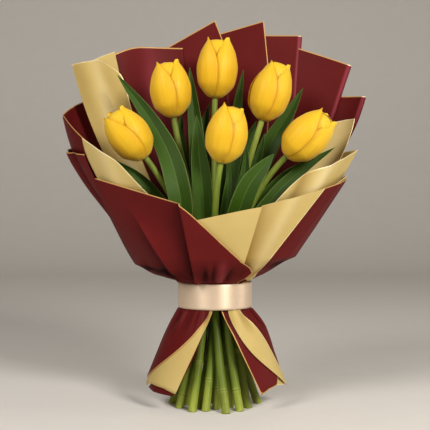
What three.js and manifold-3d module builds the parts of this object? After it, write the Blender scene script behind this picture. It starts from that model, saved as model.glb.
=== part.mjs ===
// A hand-tied bunch of six yellow tulips, wrapped in two-tone paper, standing on its cut stems.
// Millimetres, +Z up. The origin is the middle of the cut stem ends, and -Y is the front.
// Angles round the bunch are in degrees from the front, positive towards +X.
import * as THREE from "three";
import { mergeVertices } from "three/addons/utils/BufferGeometryUtils.js";
import Module from "manifold-3d";

const wasm = await Module();
wasm.setup();

// Stems
const BINDING_HEIGHT = 110;
const STEM_RADIUS_FOOT = 4.1;
const STEM_RADIUS_BINDING = 3.8;
const STEM_RADIUS_NECK = 2.9;
const STEM_SIDES = 8;
const STEM_FAN = 4.9; // how sharply the stems spread below the binding
const LEAF_STEM_TOP = 140;
const BINDING_RINGS = { centre: 0, inner: 8.5, outer: 16.5 };

// Blooms
const BLOOM_RADIUS = 21;
const BLOOM_HEIGHT = 60;
const PETAL_THICKNESS = 1;
const BLOOM_SEAT = 0.3; // the joint between a stem's top and its bloom

// Leaves
const LEAF_THICKNESS = 0.9;
const LEAF_ROOT_HEIGHT = 131;
const LEAF_ROOT_WIDTH = 6;
const LEAF_FOLD = 0.2; // depth of the fold along the midrib, as a share of the half width

// Wrapping paper
const SHEET_THICKNESS = 0.8;
const WAIST_TOP = 123;
const WAIST_BOTTOM = 97;
const INNERMOST_LAYER = 7;
const COLUMN_ANGLE = 15;

// Ribbon and binding twine
const RIBBON_WIDTH = 25;
const RIBBON_THICKNESS = 0.8;
const RIBBON_RADIUS = 36.9;
const RIBBON_LAP_ANGLE = 26;
const RIBBON_LAP_RISE = 1.3;
const TWINE_RADIUS = 1.2;
const TWINE_TURNS = 5;
const TWINE_INNER_RADIUS = 21.1;

const COLOURS = {
  burgundy: { color: 0x5a1c1e, roughness: 0.55, metalness: 0 },
  gold: { color: 0xd7b973, roughness: 0.4, metalness: 0.35 },
  satin: { color: 0xd8b890, roughness: 0.3, metalness: 0.1 },
  petal: { color: 0xfacd28, roughness: 0.5, metalness: 0 },
  green: { color: 0x4d6f26, roughness: 0.5, metalness: 0 },
  twine: { color: 0xb59a6a, roughness: 0.9, metalness: 0 },
};

// The wrap's outer surface: at each height, its reach to the left, right, front and back, and the
// share of that reach which lies between the outermost and the innermost layer of paper.
const FUNNEL = [
  { z: 0, left: 82, right: 83, front: 64, back: 60, depth: 0.22 },
  { z: 14, left: 74, right: 75, front: 60, back: 57, depth: 0.23 },
  { z: 50, left: 60, right: 59, front: 52, back: 50, depth: 0.26 },
  { z: 75, left: 49.5, right: 50.5, front: 45, back: 44, depth: 0.29 },
  { z: 97, left: 35.6, right: 35.6, front: 35.6, back: 35.6, depth: 0.315 },
  { z: 123, left: 35.6, right: 35.6, front: 35.6, back: 35.6, depth: 0.315 },
  { z: 130, left: 54, right: 53, front: 44, back: 42, depth: 0.52 },
  { z: 139, left: 78, right: 74, front: 54, back: 49, depth: 0.5 },
  { z: 148, left: 87, right: 92, front: 60, back: 52, depth: 0.41 },
  { z: 182, left: 107, right: 113, front: 71, back: 58, depth: 0.27 },
  { z: 226, left: 138, right: 141, front: 82, back: 63, depth: 0.2 },
  { z: 254, left: 153, right: 157, front: 88, back: 66, depth: 0.18 },
  { z: 290, left: 163, right: 171, front: 95, back: 70, depth: 0.17 },
  { z: 345, left: 172, right: 178, front: 104, back: 76, depth: 0.16 },
  { z: 400, left: 184, right: 185, front: 112, back: 82, depth: 0.15 },
];

// Each sheet is a row of ribs. A rib runs from the mouth of the wrap down to the hem:
// [mouth angle, mouth height, angle halfway up, waist angle, angle halfway down, hem angle, hem height].
// layer counts from the outermost paper, and slant is how many layers a sheet moves in across its width.
const SHEETS = [
  {
    name: "wrap_front_left",
    colour: "burgundy",
    layer: 0,
    ribs: [
      [-57, 225, -80, -112, -108, -104, 34],
      [-44, 218, -56, -84, -82, -80, 26],
      [-32, 212, -38, -56, -58, -60, 22],
      [-16, 201, -20, -30, -31, -32, 19],
      [-8, 185, -10, -16, -17, -17, 65],
      [6, 160, 4, 0, -1, -3, 95],
      [33, 135, 32, 28, 26, 24, 95],
      [50, 126, 50, 50, 49, 48, 95],
    ],
  },
  {
    name: "wrap_front_right",
    colour: "gold",
    layer: 1,
    ribs: [
      [-28, 178, -28, -24, -12, -4, 95],
      [-13, 184, -12, -10, 2, 8, 95],
      [5, 191, 6, 8, 15, 22, 95],
      [20, 199, 18, 20, 23, 25, 73],
      [30, 203, 25, 31, 37, 44, 48],
      [43, 209, 36, 43, 54, 64, 26],
      [55, 215, 45, 55, 82, 90, 19],
    ],
  },
  {
    name: "wrap_right_side",
    colour: "burgundy",
    layer: 2,
    ribs: [
      [40, 202, 32, 12, 18, 20, 72],
      [50, 212, 44, 26, 27, 28, 50],
      [60, 217, 54, 42, 40, 40, 17],
      [71, 221, 66, 60, 62, 64, 23],
      [81, 225, 80, 82, 86, 88, 34],
      [105, 232, 104, 102, 102, 102, 44],
      [130, 236, 128, 122, 120, 118, 46],
    ],
  },
  {
    name: "wrap_right_gold_low",
    colour: "gold",
    layer: 3,
    ribs: [
      [34, 196, 30, 26, 26, 26, 94],
      [44, 206, 42, 38, 38, 38, 94],
      [53, 211, 52, 50, 50, 50, 94],
      [70, 219, 68, 66, 66, 66, 94],
      [88, 230, 86, 84, 84, 84, 94],
      [102, 235, 101, 100, 100, 100, 94],
    ],
  },
  {
    name: "wrap_right_gold",
    colour: "gold",
    layer: 4,
    ribs: [
      [31, 200, 28, 24, 24, 24, 94],
      [39, 222, 37, 34, 34, 34, 94],
      [49, 234, 47, 45, 45, 45, 94],
      [65, 244, 63, 60, 60, 60, 94],
      [88, 254, 84, 80, 80, 80, 94],
      [99, 256, 98, 106, 106, 106, 94],
    ],
  },
  {
    name: "wrap_right_gold_tall",
    colour: "gold",
    layer: 7,
    ribs: [
      [97, 286, 84, 84, 84, 84, 94],
      [109, 286, 98, 94, 94, 94, 94],
      [121, 284, 112, 104, 104, 104, 94],
      [133, 278, 126, 114, 114, 114, 94],
    ],
  },
  {
    name: "wrap_left_gold",
    colour: "gold",
    layer: 2,
    ribs: [
      [-59, 264, -64, -68, -68, -68, 94],
      [-50, 253, -54, -58, -58, -58, 94],
      [-42, 241, -46, -48, -48, -48, 94],
      [-34, 212, -36, -38, -38, -38, 94],
      [-24, 190, -26, -28, -28, -28, 94],
    ],
  },
  {
    name: "wrap_left_collar",
    colour: "burgundy",
    layer: 3,
    ribs: [
      [-128, 310, -124, -120, -120, -120, 94],
      [-118, 305, -114, -110, -110, -110, 94],
      [-94, 291, -96, -98, -98, -98, 94],
      [-82, 287, -85, -88, -88, -88, 94],
      [-62, 265, -68, -74, -74, -74, 94],
      [-54, 252, -58, -62, -62, -62, 94],
    ],
  },
  {
    name: "wrap_left_outer",
    colour: "burgundy",
    layer: 1.4,
    ribs: [
      [-116, 254, -122, -134, -130, -126, 40],
      [-100, 256, -108, -118, -116, -114, 38],
      [-86, 253, -94, -102, -101, -100, 36],
      [-72, 250, -80, -88, -89, -90, 36],
      [-60, 248, -66, -74, -76, -80, 36],
    ],
  },
  {
    name: "wrap_back_1",
    colour: "gold",
    layer: 5,
    slant: 1.5,
    ribs: [
      [240, 336, 238, 232, 232, 232, 94],
      [229, 347, 228, 224, 224, 224, 94],
      [222, 358, 220, 218, 218, 218, 94],
      [210, 365, 209, 208, 208, 208, 94],
      [193, 365, 191, 194, 194, 194, 94],
    ],
  },
  {
    name: "wrap_back_2",
    colour: "gold",
    layer: 5,
    slant: 1.5,
    ribs: [
      [204, 358, 205, 206, 206, 206, 38],
      [197, 368, 198, 199, 199, 199, 34],
      [180, 395, 180, 180, 180, 180, 34],
      [175, 360, 173, 172, 172, 172, 38],
    ],
  },
  {
    name: "wrap_back_3",
    colour: "gold",
    layer: 5,
    slant: 1.5,
    ribs: [
      [183, 377, 183, 182, 182, 182, 94],
      [178, 381, 178, 177, 177, 177, 94],
      [161, 394, 161, 162, 162, 162, 94],
      [157, 331, 156, 156, 156, 156, 94],
    ],
  },
  {
    name: "wrap_back_4",
    colour: "gold",
    layer: 5,
    slant: 1.5,
    ribs: [
      [166, 379, 166, 168, 170, 172, 38],
      [160, 379, 160, 160, 161, 162, 36],
      [144, 377, 144, 144, 144, 144, 36],
    ],
  },
  {
    name: "wrap_back_5",
    colour: "gold",
    layer: 5,
    slant: 1.5,
    ribs: [
      [150, 367, 150, 150, 150, 150, 94],
      [144, 362, 144, 144, 144, 144, 94],
      [129, 353, 131, 131, 131, 131, 94],
      [113, 342, 126, 120, 120, 120, 94],
    ],
  },
  {
    name: "wrap_back_6",
    colour: "gold",
    layer: 5,
    ribs: [
      [134, 306, 134, 136, 138, 140, 40],
      [124, 311, 127, 127, 127, 127, 40],
      [112, 310, 119, 117, 116, 116, 40],
      [101, 309, 113, 108, 106, 105, 44],
    ],
  },
  {
    name: "wrap_left_tall",
    colour: "gold",
    layer: 7,
    ribs: [
      [268, 339, 247, 252, 252, 252, 94],
      [255, 343, 240, 243, 243, 243, 94],
      [244, 346, 232, 233, 233, 233, 94],
      [237, 348, 227, 225, 225, 225, 94],
      [224.6, 359, 219, 218, 218, 218, 94],
    ],
  },
];

// Each stem leaves the binding at its angle in a ring, and stands with its foot at a place on the ground.
// A stem with a bloom ends at the bloom's neck, and blooms point from the neck to the tip. turn spins a bloom about its own axis, in degrees.
// A leaf follows its points, given from the tip down to where it nears the stem, and is widest at its middle.
const STEMS = [
  {
    name: "stem_bloom_1",
    ring: "outer",
    angle: -80,
    foot: [-35, -22],
    bloom: { neck: [-67.5, -25, 245], tip: [-100, -35, 289], turn: 12 },
  },
  {
    name: "stem_bloom_2",
    ring: "inner",
    angle: -90,
    foot: [-27, -9],
    bloom: { neck: [-41, 0, 286], tip: [-49, 0, 342], turn: 10 },
  },
  {
    name: "stem_bloom_3",
    ring: "inner",
    angle: 180,
    foot: [-15.5, -23],
    bloom: { neck: [0, 20, 307], tip: [3, 22, 368], turn: -4 },
  },
  {
    name: "stem_bloom_4",
    ring: "outer",
    angle: 0,
    foot: [10.5, -48],
    bloom: { neck: [5.5, -45, 239], tip: [17, -48, 294], turn: 8 },
  },
  {
    name: "stem_bloom_5",
    ring: "inner",
    angle: 90,
    foot: [14.5, -19],
    bloom: { neck: [46.6, 0, 283], tip: [64, 0, 341], turn: 8 },
    leaves: [{ points: [[50, 7, 271], [44, 6, 249], [35, 5, 215], [20, 3, 165]], width: 11 }],
  },
  {
    name: "stem_bloom_6",
    ring: "outer",
    angle: 80,
    foot: [32.5, -22],
    bloom: { neck: [69, -25, 246], tip: [110, -32, 286], turn: 6 },
    leaves: [{ points: [[95, -1, 245], [72, 0, 228], [52, -1, 206], [28, -3, 165]], width: 16 }],
  },
  {
    name: "stem_leaf_front",
    ring: "inner",
    angle: 0,
    foot: [-9, -37],
    leaves: [
      { points: [[-18, -29, 286], [-16, -30, 253], [-13, -27, 224], [-9, -22, 180]], width: 19 },
      { points: [[15, -19, 238], [13, -20, 220], [10, -19, 195], [5, -14, 160]], width: 9 },
    ],
  },
  {
    name: "stem_leaf_front_left",
    ring: "outer",
    angle: -40,
    foot: [-22, -40],
    leaves: [{ points: [[-97.5, 4, 329], [-69, -4, 291], [-46, -20, 251], [-35, -31, 214], [-28, -23, 165]], width: 23 }],
  },
  {
    name: "stem_leaf_front_right",
    ring: "outer",
    angle: 40,
    foot: [24, -37],
    leaves: [
      { points: [[56, -50, 248], [45, -51, 235], [33, -50, 219], [22, -42, 190], [14, -24, 155]], width: 21 },
      { points: [[31, -10, 262], [30, -10, 234], [26, -12, 210], [18, -13, 165]], width: 12 },
      { points: [[119, -4, 256], [94, -8, 240], [73, -13, 223], [54, -19, 203], [26, -21, 165]], width: 14 },
    ],
  },
  {
    name: "stem_leaf_left",
    ring: "outer",
    angle: -120,
    foot: [-43, 0],
    leaves: [
      { points: [[-98, -12, 243], [-75, -8, 226], [-56, -3, 204], [-30, 4, 165]], width: 13 },
      { points: [[-34, 22, 292], [-36, 22, 270], [-33, 20, 240], [-24, 14, 185]], width: 14 },
    ],
  },
  {
    name: "stem_leaf_right",
    ring: "outer",
    angle: 120,
    foot: [43, 0],
    leaves: [
      { points: [[89, 15, 317], [74, 14, 290], [57, 13, 262], [42, 12, 228], [26, 11, 175]], width: 20 },
      { points: [[42, 20, 284], [36, 20, 268], [31, 20, 240], [22, 16, 185]], width: 11 },
    ],
  },
  {
    name: "stem_leaf_back_left",
    ring: "outer",
    angle: -160,
    foot: [0, 34],
    leaves: [{ points: [[-5, 33, 305], [-11, 32, 278], [-12, 30, 245], [-9, 24, 190]], width: 13 }],
  },
  {
    name: "stem_leaf_back_right",
    ring: "outer",
    angle: 160,
    foot: [0, 0],
    leaves: [
      { points: [[10, 33, 304], [7, 32, 275], [6, 30, 240], [5, 24, 185]], width: 11 },
      { points: [[29, 26, 337], [24, 27, 306], [21, 27, 268], [18, 26, 225], [12, 21, 175]], width: 14 },
    ],
  },
  {
    name: "stem_leaf_centre",
    ring: "centre",
    angle: 0,
    foot: [1.5, -28],
    leaves: [
      { points: [[-25.7, 22, 339], [-23, 17, 308], [-18.5, 9, 265], [-16, 8, 225], [-10, 8, 175]], width: 17 },
    ],
  },
];

// The outline of a petal from its root to its tip: height and radius as shares of the bloom's, and the
// half angle that the petal spans round the bloom's axis, in degrees.
const OUTER_PETAL = {
  columns: 4,
  outline: [
    { height: 0.03, radius: 0.26, span: 50 },
    { height: 0.1, radius: 0.6, span: 57 },
    { height: 0.25, radius: 0.9, span: 58.5 },
    { height: 0.5, radius: 1, span: 58.5 },
    { height: 0.73, radius: 0.87, span: 51 },
    { height: 0.9, radius: 0.66, span: 31 },
    { height: 1, radius: 0.5, span: 4 },
  ],
};
const INNER_PETAL = {
  columns: 3,
  outline: [
    { height: 0.07, radius: 0.3, span: 48 },
    { height: 0.24, radius: 0.74, span: 52 },
    { height: 0.58, radius: 0.82, span: 54 },
    { height: 0.86, radius: 0.6, span: 42 },
    { height: 0.97, radius: 0.42, span: 14 },
  ],
};

const radians = THREE.MathUtils.degToRad;
const mix = THREE.MathUtils.lerp;

function material(colour) {
  return new THREE.MeshStandardMaterial({ ...COLOURS[colour] });
}

// A point at an angle round the bunch.
function around(angle, radius, z) {
  return new THREE.Vector3(radius * Math.sin(radians(angle)), -radius * Math.cos(radians(angle)), z);
}

// A closed geometry from triangles, turned so that its faces point out.
function closedGeometry(vertices, triangles) {
  const volume = triangles.reduce((sum, [a, b, c]) => {
    const cross = new THREE.Vector3().crossVectors(vertices[b], vertices[c]);
    return sum + vertices[a].dot(cross);
  }, 0);
  const facing = volume > 0 ? triangles : triangles.map(([a, b, c]) => [a, c, b]);
  const geometry = new THREE.BufferGeometry().setFromPoints(vertices);
  geometry.setIndex(facing.flat());
  geometry.computeVertexNormals();
  return geometry;
}

// A thin closed body between two grids of points, split into triangles alike on both faces.
function slab(front, back) {
  const rows = front.length;
  const columns = front[0].length;
  const vertices = [...front.flat(), ...back.flat()];
  const behind = rows * columns;
  const at = (row, column) => row * columns + column;
  const triangles = [];
  const quad = (a, b, c, d) => triangles.push([a, b, c], [a, c, d]);
  for (let row = 0; row < rows - 1; row++) {
    for (let column = 0; column < columns - 1; column++) {
      const corners = [at(row, column), at(row, column + 1), at(row + 1, column + 1), at(row + 1, column)];
      const [a, b, c, d] = corners;
      quad(a, b, c, d);
      triangles.push([a + behind, c + behind, b + behind], [a + behind, d + behind, c + behind]);
    }
  }
  const rim = [];
  for (let column = 0; column < columns - 1; column++) {
    rim.push([at(0, column + 1), at(0, column)]);
    rim.push([at(rows - 1, column), at(rows - 1, column + 1)]);
  }
  for (let row = 0; row < rows - 1; row++) {
    rim.push([at(row, 0), at(row + 1, 0)]);
    rim.push([at(row + 1, columns - 1), at(row, columns - 1)]);
  }
  for (const [a, b] of rim) {
    quad(a, b, b + behind, a + behind);
  }
  return closedGeometry(vertices, triangles);
}

// A closed round body: rings of points joined in order, with a flat cap at each end.
function ringedBody(rings) {
  const sides = rings[0].length;
  const vertices = rings.flat();
  const triangles = [];
  for (let ring = 0; ring < rings.length - 1; ring++) {
    for (let side = 0; side < sides; side++) {
      const a = ring * sides + side;
      const b = ring * sides + ((side + 1) % sides);
      triangles.push([a, b, b + sides], [a, b + sides, a + sides]);
    }
  }
  const last = (rings.length - 1) * sides;
  for (let side = 1; side < sides - 1; side++) {
    triangles.push([0, side + 1, side], [last, last + side, last + side + 1]);
  }
  return closedGeometry(vertices, triangles);
}

function solidOf(geometry) {
  const bare = new THREE.BufferGeometry();
  bare.setAttribute("position", geometry.getAttribute("position"));
  bare.setIndex(geometry.getIndex());
  const merged = mergeVertices(bare, 1e-4);
  const vertProperties = merged.getAttribute("position").array;
  const triVerts = new Uint32Array(merged.getIndex().array);
  return new wasm.Manifold(new wasm.Mesh({ numProp: 3, vertProperties, triVerts }));
}

function geometryOf(solid) {
  const mesh = solid.getMesh();
  const geometry = new THREE.BufferGeometry();
  geometry.setAttribute("position", new THREE.BufferAttribute(mesh.vertProperties, 3));
  geometry.setIndex(new THREE.BufferAttribute(mesh.triVerts, 1));
  geometry.computeVertexNormals();
  return geometry;
}

function fuse(geometries) {
  const solids = geometries.map(solidOf);
  return geometryOf(solids.reduce((whole, next) => whole.add(next)));
}

// Stems

// The share of the way from the binding to the foot, sideways, at a height below the binding.
function fanShare(z) {
  const drop = (BINDING_HEIGHT - z) / BINDING_HEIGHT;
  return (Math.sqrt(1 + STEM_FAN * drop * drop) - 1) / (Math.sqrt(1 + STEM_FAN) - 1);
}

function bindingPoint(stem) {
  return around(stem.angle, BINDING_RINGS[stem.ring], BINDING_HEIGHT);
}

// The stem's centre line from the foot to the binding, and from there to its top.
function stemPath(stem) {
  const held = bindingPoint(stem);
  const [footX, footY] = stem.foot;
  const below = [0, 42, 84].map((z) => {
    const share = fanShare(z);
    return new THREE.Vector3(mix(held.x, footX, share), mix(held.y, footY, share), z);
  });
  const above = stem.bloom ? bloomStemTop(stem, held) : leafStemTop(stem, held);
  return [...below, held, ...above];
}

// Bends up and out of the binding to meet the bloom's neck along the bloom's axis.
function bloomStemTop(stem, held) {
  const neck = new THREE.Vector3(...stem.bloom.neck);
  const axis = bloomAxis(stem.bloom);
  const reach = neck.distanceTo(held);
  const curve = new THREE.CubicBezierCurve3(
    held,
    held.clone().add(new THREE.Vector3(0, 0, reach * 0.36)),
    neck.clone().addScaledVector(axis, -reach * 0.3),
    neck.clone().addScaledVector(axis, -BLOOM_SEAT),
  );
  return curve.getPoints(5).slice(1);
}

function leafStemTop(stem, held) {
  const top = held.clone().setZ(LEAF_STEM_TOP);
  const middle = held.clone().setZ(mix(BINDING_HEIGHT, LEAF_STEM_TOP, 0.5));
  top.x *= 1.05;
  top.y *= 1.05;
  return [middle, top];
}

function stemRadius(z, top) {
  if (z < BINDING_HEIGHT) {
    return mix(STEM_RADIUS_FOOT, STEM_RADIUS_BINDING, z / BINDING_HEIGHT);
  }
  return mix(STEM_RADIUS_BINDING, STEM_RADIUS_NECK, (z - BINDING_HEIGHT) / (top - BINDING_HEIGHT));
}

// A tube square to its path, whose first ring is cut level.
function tube(path, radiusAt) {
  const rings = path.map((centre, index) => {
    const before = path[Math.max(index - 1, 0)];
    const after = path[Math.min(index + 1, path.length - 1)];
    const along = after.clone().sub(before).normalize();
    const across = new THREE.Vector3(1, 0, 0).addScaledVector(along, -along.x).normalize();
    const third = along.clone().cross(across);
    const ring = [];
    for (let side = 0; side < STEM_SIDES; side++) {
      const angle = (side / STEM_SIDES) * Math.PI * 2;
      const point = centre.clone();
      point.addScaledVector(across, Math.cos(angle) * radiusAt(centre.z));
      point.addScaledVector(third, Math.sin(angle) * radiusAt(centre.z));
      if (index === 0) {
        point.addScaledVector(along, -point.z / along.z);
      }
      ring.push(point);
    }
    return ring;
  });
  return ringedBody(rings);
}

// Leaves

// A lance-shaped blade folded along its midrib, whose face looks at the front of the bunch.
function leafBlade(leaf, root) {
  const points = [...leaf.points.map((point) => new THREE.Vector3(...point)), root];
  const curve = new THREE.CatmullRomCurve3(points.reverse(), false, "centripetal");
  const rows = 2 * leaf.points.length + 1;
  const front = [];
  const back = [];
  for (let row = 0; row <= rows; row++) {
    const share = row / rows;
    const centre = curve.getPoint(share);
    const along = curve.getTangent(share);
    const facing = new THREE.Vector3(0, -1, 0).addScaledVector(along, along.y).normalize();
    const across = along.clone().cross(facing).normalize();
    const half = leafHalfWidth(share, leaf.width);
    const frontRow = [];
    const backRow = [];
    for (const side of [-1, 0, 1]) {
      const point = centre.clone().addScaledVector(across, side * half);
      point.addScaledVector(facing, Math.abs(side) * half * LEAF_FOLD);
      frontRow.push(point.clone().addScaledVector(facing, LEAF_THICKNESS / 2));
      backRow.push(point.clone().addScaledVector(facing, -LEAF_THICKNESS / 2));
    }
    front.push(frontRow);
    back.push(backRow);
  }
  return slab(front, back);
}

// Narrow at the root, widest past the middle, and drawn out to a fine tip.
function leafHalfWidth(share, width) {
  const tip = 0.4;
  const swell = Math.sin(Math.PI * Math.pow(share, 0.85)) ** 0.8;
  const root = (LEAF_ROOT_WIDTH / 2) * Math.max(0, 1 - share * 2.5);
  return Math.max((width / 2) * swell, root, tip);
}

function leafRoot(stem) {
  const outward = bindingPoint(stem).multiplyScalar(1.04);
  return outward.setZ(LEAF_ROOT_HEIGHT);
}

function stemMesh(stem) {
  const path = stemPath(stem);
  const top = path[path.length - 1].z;
  const parts = [tube(path, (z) => stemRadius(z, top))];
  for (const leaf of stem.leaves ?? []) {
    parts.push(leafBlade(leaf, leafRoot(stem)));
  }
  const geometry = parts.length > 1 ? fuse(parts) : parts[0];
  const mesh = new THREE.Mesh(geometry, material("green"));
  mesh.name = stem.name;
  return mesh;
}

// Blooms

function bloomAxis(bloom) {
  return new THREE.Vector3(...bloom.tip).sub(new THREE.Vector3(...bloom.neck)).normalize();
}

// A cupped petal about the bloom's axis, at an angle round it.
function petal({ columns, outline }, turn) {
  const grid = (offset) =>
    outline.map(({ height, radius, span }) => {
      const row = [];
      for (let column = 0; column <= columns; column++) {
        const angle = turn + mix(-span, span, column / columns);
        row.push(around(angle, radius * BLOOM_RADIUS + offset, height * BLOOM_HEIGHT));
      }
      return row;
    });
  return slab(grid(0), grid(-PETAL_THICKNESS));
}

// The receptacle that the petals grow from, and the pistil on it, hidden inside the cup.
function bloomHeart() {
  const profile = [
    [0, 0],
    [3, 0],
    [9.5, 4.5],
    [4, 8],
    [3.4, 26],
    [5.2, 29],
    [0, 31],
  ].map(([radius, height]) => new THREE.Vector2(radius, height));
  const heart = new THREE.LatheGeometry(profile, 7);
  heart.rotateX(Math.PI / 2);
  return heart;
}

function bloomMesh(stem, index) {
  const petals = [];
  for (const turn of [60, 180, 300]) {
    petals.push(petal(OUTER_PETAL, turn), petal(INNER_PETAL, turn - 60));
  }
  const geometry = fuse([bloomHeart(), ...petals]);
  const mesh = new THREE.Mesh(geometry, material("petal"));
  mesh.name = `bloom_${index + 1}`;
  const { neck, tip, turn } = stem.bloom;
  const up = bloomAxis(stem.bloom);
  const backward = new THREE.Vector3(0, 1, 0).addScaledVector(up, -up.y).normalize();
  const right = backward.clone().cross(up);
  const placed = new THREE.Matrix4().makeBasis(right, backward, up);
  mesh.quaternion.setFromRotationMatrix(placed);
  mesh.rotateZ(radians(turn));
  mesh.position.set(...neck);
  mesh.scale.z = new THREE.Vector3(...neck).distanceTo(new THREE.Vector3(...tip)) / BLOOM_HEIGHT;
  return mesh;
}

// Wrapping paper

// Slopes that keep a curve through the points free of overshoot.
function smoothSlopes(xs, ys) {
  const rises = xs.slice(1).map((x, i) => (ys[i + 1] - ys[i]) / (x - xs[i]));
  return xs.map((x, i) => {
    if (i === 0 || i === xs.length - 1) {
      return rises[Math.min(i, rises.length - 1)];
    }
    const [low, high] = [rises[i - 1], rises[i]];
    return low * high <= 0 ? 0 : (2 * low * high) / (low + high);
  });
}

function smoothCurve(xs, ys) {
  const slopes = smoothSlopes(xs, ys);
  return (x) => {
    const inside = THREE.MathUtils.clamp(x, xs[0], xs[xs.length - 1]);
    let i = 0;
    while (i < xs.length - 2 && inside > xs[i + 1]) {
      i++;
    }
    const width = xs[i + 1] - xs[i];
    const t = (inside - xs[i]) / width;
    const start = (1 + 2 * t) * (1 - t) ** 2 * ys[i] + t * t * (3 - 2 * t) * ys[i + 1];
    return start + width * (t * (1 - t) ** 2 * slopes[i] - t * t * (1 - t) * slopes[i + 1]);
  };
}

// One reach of the funnel as a curve over the height, with a crease at each edge of the waist.
function funnelReach(key) {
  const through = (rings) => smoothCurve(rings.map((ring) => ring.z), rings.map((ring) => ring[key]));
  const skirt = through(FUNNEL.filter((ring) => ring.z <= WAIST_BOTTOM));
  const flare = through(FUNNEL.filter((ring) => ring.z >= WAIST_TOP));
  return (z) => (z < WAIST_TOP ? skirt(z) : flare(z));
}

const reach = {
  left: funnelReach("left"),
  right: funnelReach("right"),
  front: funnelReach("front"),
  back: funnelReach("back"),
  depth: funnelReach("depth"),
};

// A point on a layer of the wrap, at an angle round it and a height.
function wrapPoint(angle, z, layer) {
  const sine = Math.sin(radians(angle));
  const cosine = Math.cos(radians(angle));
  const sideways = mix(reach.left(z), reach.right(z), (1 + sine) / 2);
  const forward = mix(reach.back(z), reach.front(z), (1 + cosine) / 2);
  const share = 1 - (reach.depth(z) * layer) / INNERMOST_LAYER;
  return new THREE.Vector3(sideways * sine * share, -forward * cosine * share, z);
}

function wrapNormal(angle, z, layer) {
  const round = wrapPoint(angle + 0.5, z, layer).sub(wrapPoint(angle - 0.5, z, layer));
  const rise = wrapPoint(angle, z + 0.25, layer).sub(wrapPoint(angle, z - 0.25, layer));
  return round.cross(rise).normalize();
}

// A rib's angle and height at a station: 0 at the hem, 1 and 2 at the foot and the top of the waist, 3 at the mouth.
function ribStation(rib, station) {
  const [mouthAngle, mouthHeight, upperAngle, waistAngle, lowerAngle, hemAngle, hemHeight] = rib;
  const bend = (start, middle, end, t) => {
    const pull = 2 * middle - (start + end) / 2;
    return (1 - t) ** 2 * start + 2 * t * (1 - t) * pull + t * t * end;
  };
  if (station <= 1) {
    return [bend(hemAngle, lowerAngle, waistAngle, station), mix(hemHeight, WAIST_BOTTOM, station)];
  }
  if (station <= 2) {
    return [waistAngle, mix(WAIST_BOTTOM, WAIST_TOP, station - 1)];
  }
  const t = station - 2;
  return [bend(waistAngle, upperAngle, mouthAngle, t), mix(WAIST_TOP, mouthHeight, t)];
}

// How the sheet's rows are spread: few where it is short or straight, more at the shoulder above the waist.
function stationsOf(sheet) {
  const lowestHem = Math.min(...sheet.ribs.map((rib) => rib[6]));
  const skirt = lowestHem < 80 ? [0, 0.3, 0.6, 0.82] : [0];
  const shoulder = [2.07, 2.16, 2.28, 2.5, 2.75, 3];
  return [...skirt, 1, 2, ...shoulder];
}

// The columns of a sheet, as shares of the way along its ribs: one at each rib, more where ribs are far apart.
function columnsOf(sheet) {
  const columns = [0];
  for (let i = 1; i < sheet.ribs.length; i++) {
    const turn = Math.max(...[0, 3, 5].map((k) => Math.abs(sheet.ribs[i][k] - sheet.ribs[i - 1][k])));
    const steps = Math.ceil(turn / COLUMN_ANGLE);
    for (let step = 1; step <= steps; step++) {
      columns.push(i - 1 + step / steps);
    }
  }
  return columns;
}

function sheetMesh(sheet) {
  const last = sheet.ribs.length - 1;
  const columns = columnsOf(sheet);
  const stations = stationsOf(sheet);
  const grid = (offset) =>
    stations.map((station) =>
      columns.map((column) => {
        const i = Math.min(Math.floor(column), last - 1);
        const [low, high] = [sheet.ribs[i], sheet.ribs[i + 1]];
        const rib = low.map((value, k) => mix(value, high[k], column - i));
        const [angle, z] = ribStation(rib, station);
        const across = (rib[3] - sheet.ribs[0][3]) / (sheet.ribs[last][3] - sheet.ribs[0][3]);
        const layer = sheet.layer + (sheet.slant ?? 0) * across;
        return wrapPoint(angle, z, layer).addScaledVector(wrapNormal(angle, z, layer), offset);
      }),
    );
  const geometry = slab(grid(SHEET_THICKNESS / 2), grid(-SHEET_THICKNESS / 2));
  const mesh = new THREE.Mesh(geometry, material(sheet.colour));
  mesh.name = sheet.name;
  return mesh;
}

// Ribbon and binding

// A band wound once round the waist, its outer end lapped over its inner end at the back.
function ribbonMesh() {
  const steps = 36;
  const start = 180 - RIBBON_LAP_ANGLE / 2;
  const grid = (offset) => {
    const rows = [];
    for (let step = 0; step <= steps; step++) {
      const turned = (step / steps) * (360 + RIBBON_LAP_ANGLE);
      const lapped = THREE.MathUtils.smoothstep(turned, 340, 360);
      const radius = RIBBON_RADIUS + RIBBON_LAP_RISE * lapped + offset;
      rows.push([-1, 1].map((side) => around(start + turned, radius, BINDING_HEIGHT + (side * RIBBON_WIDTH) / 2)));
    }
    return rows;
  };
  const mesh = new THREE.Mesh(slab(grid(RIBBON_THICKNESS / 2), grid(-RIBBON_THICKNESS / 2)), material("satin"));
  mesh.name = "ribbon";
  return mesh;
}

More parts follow.
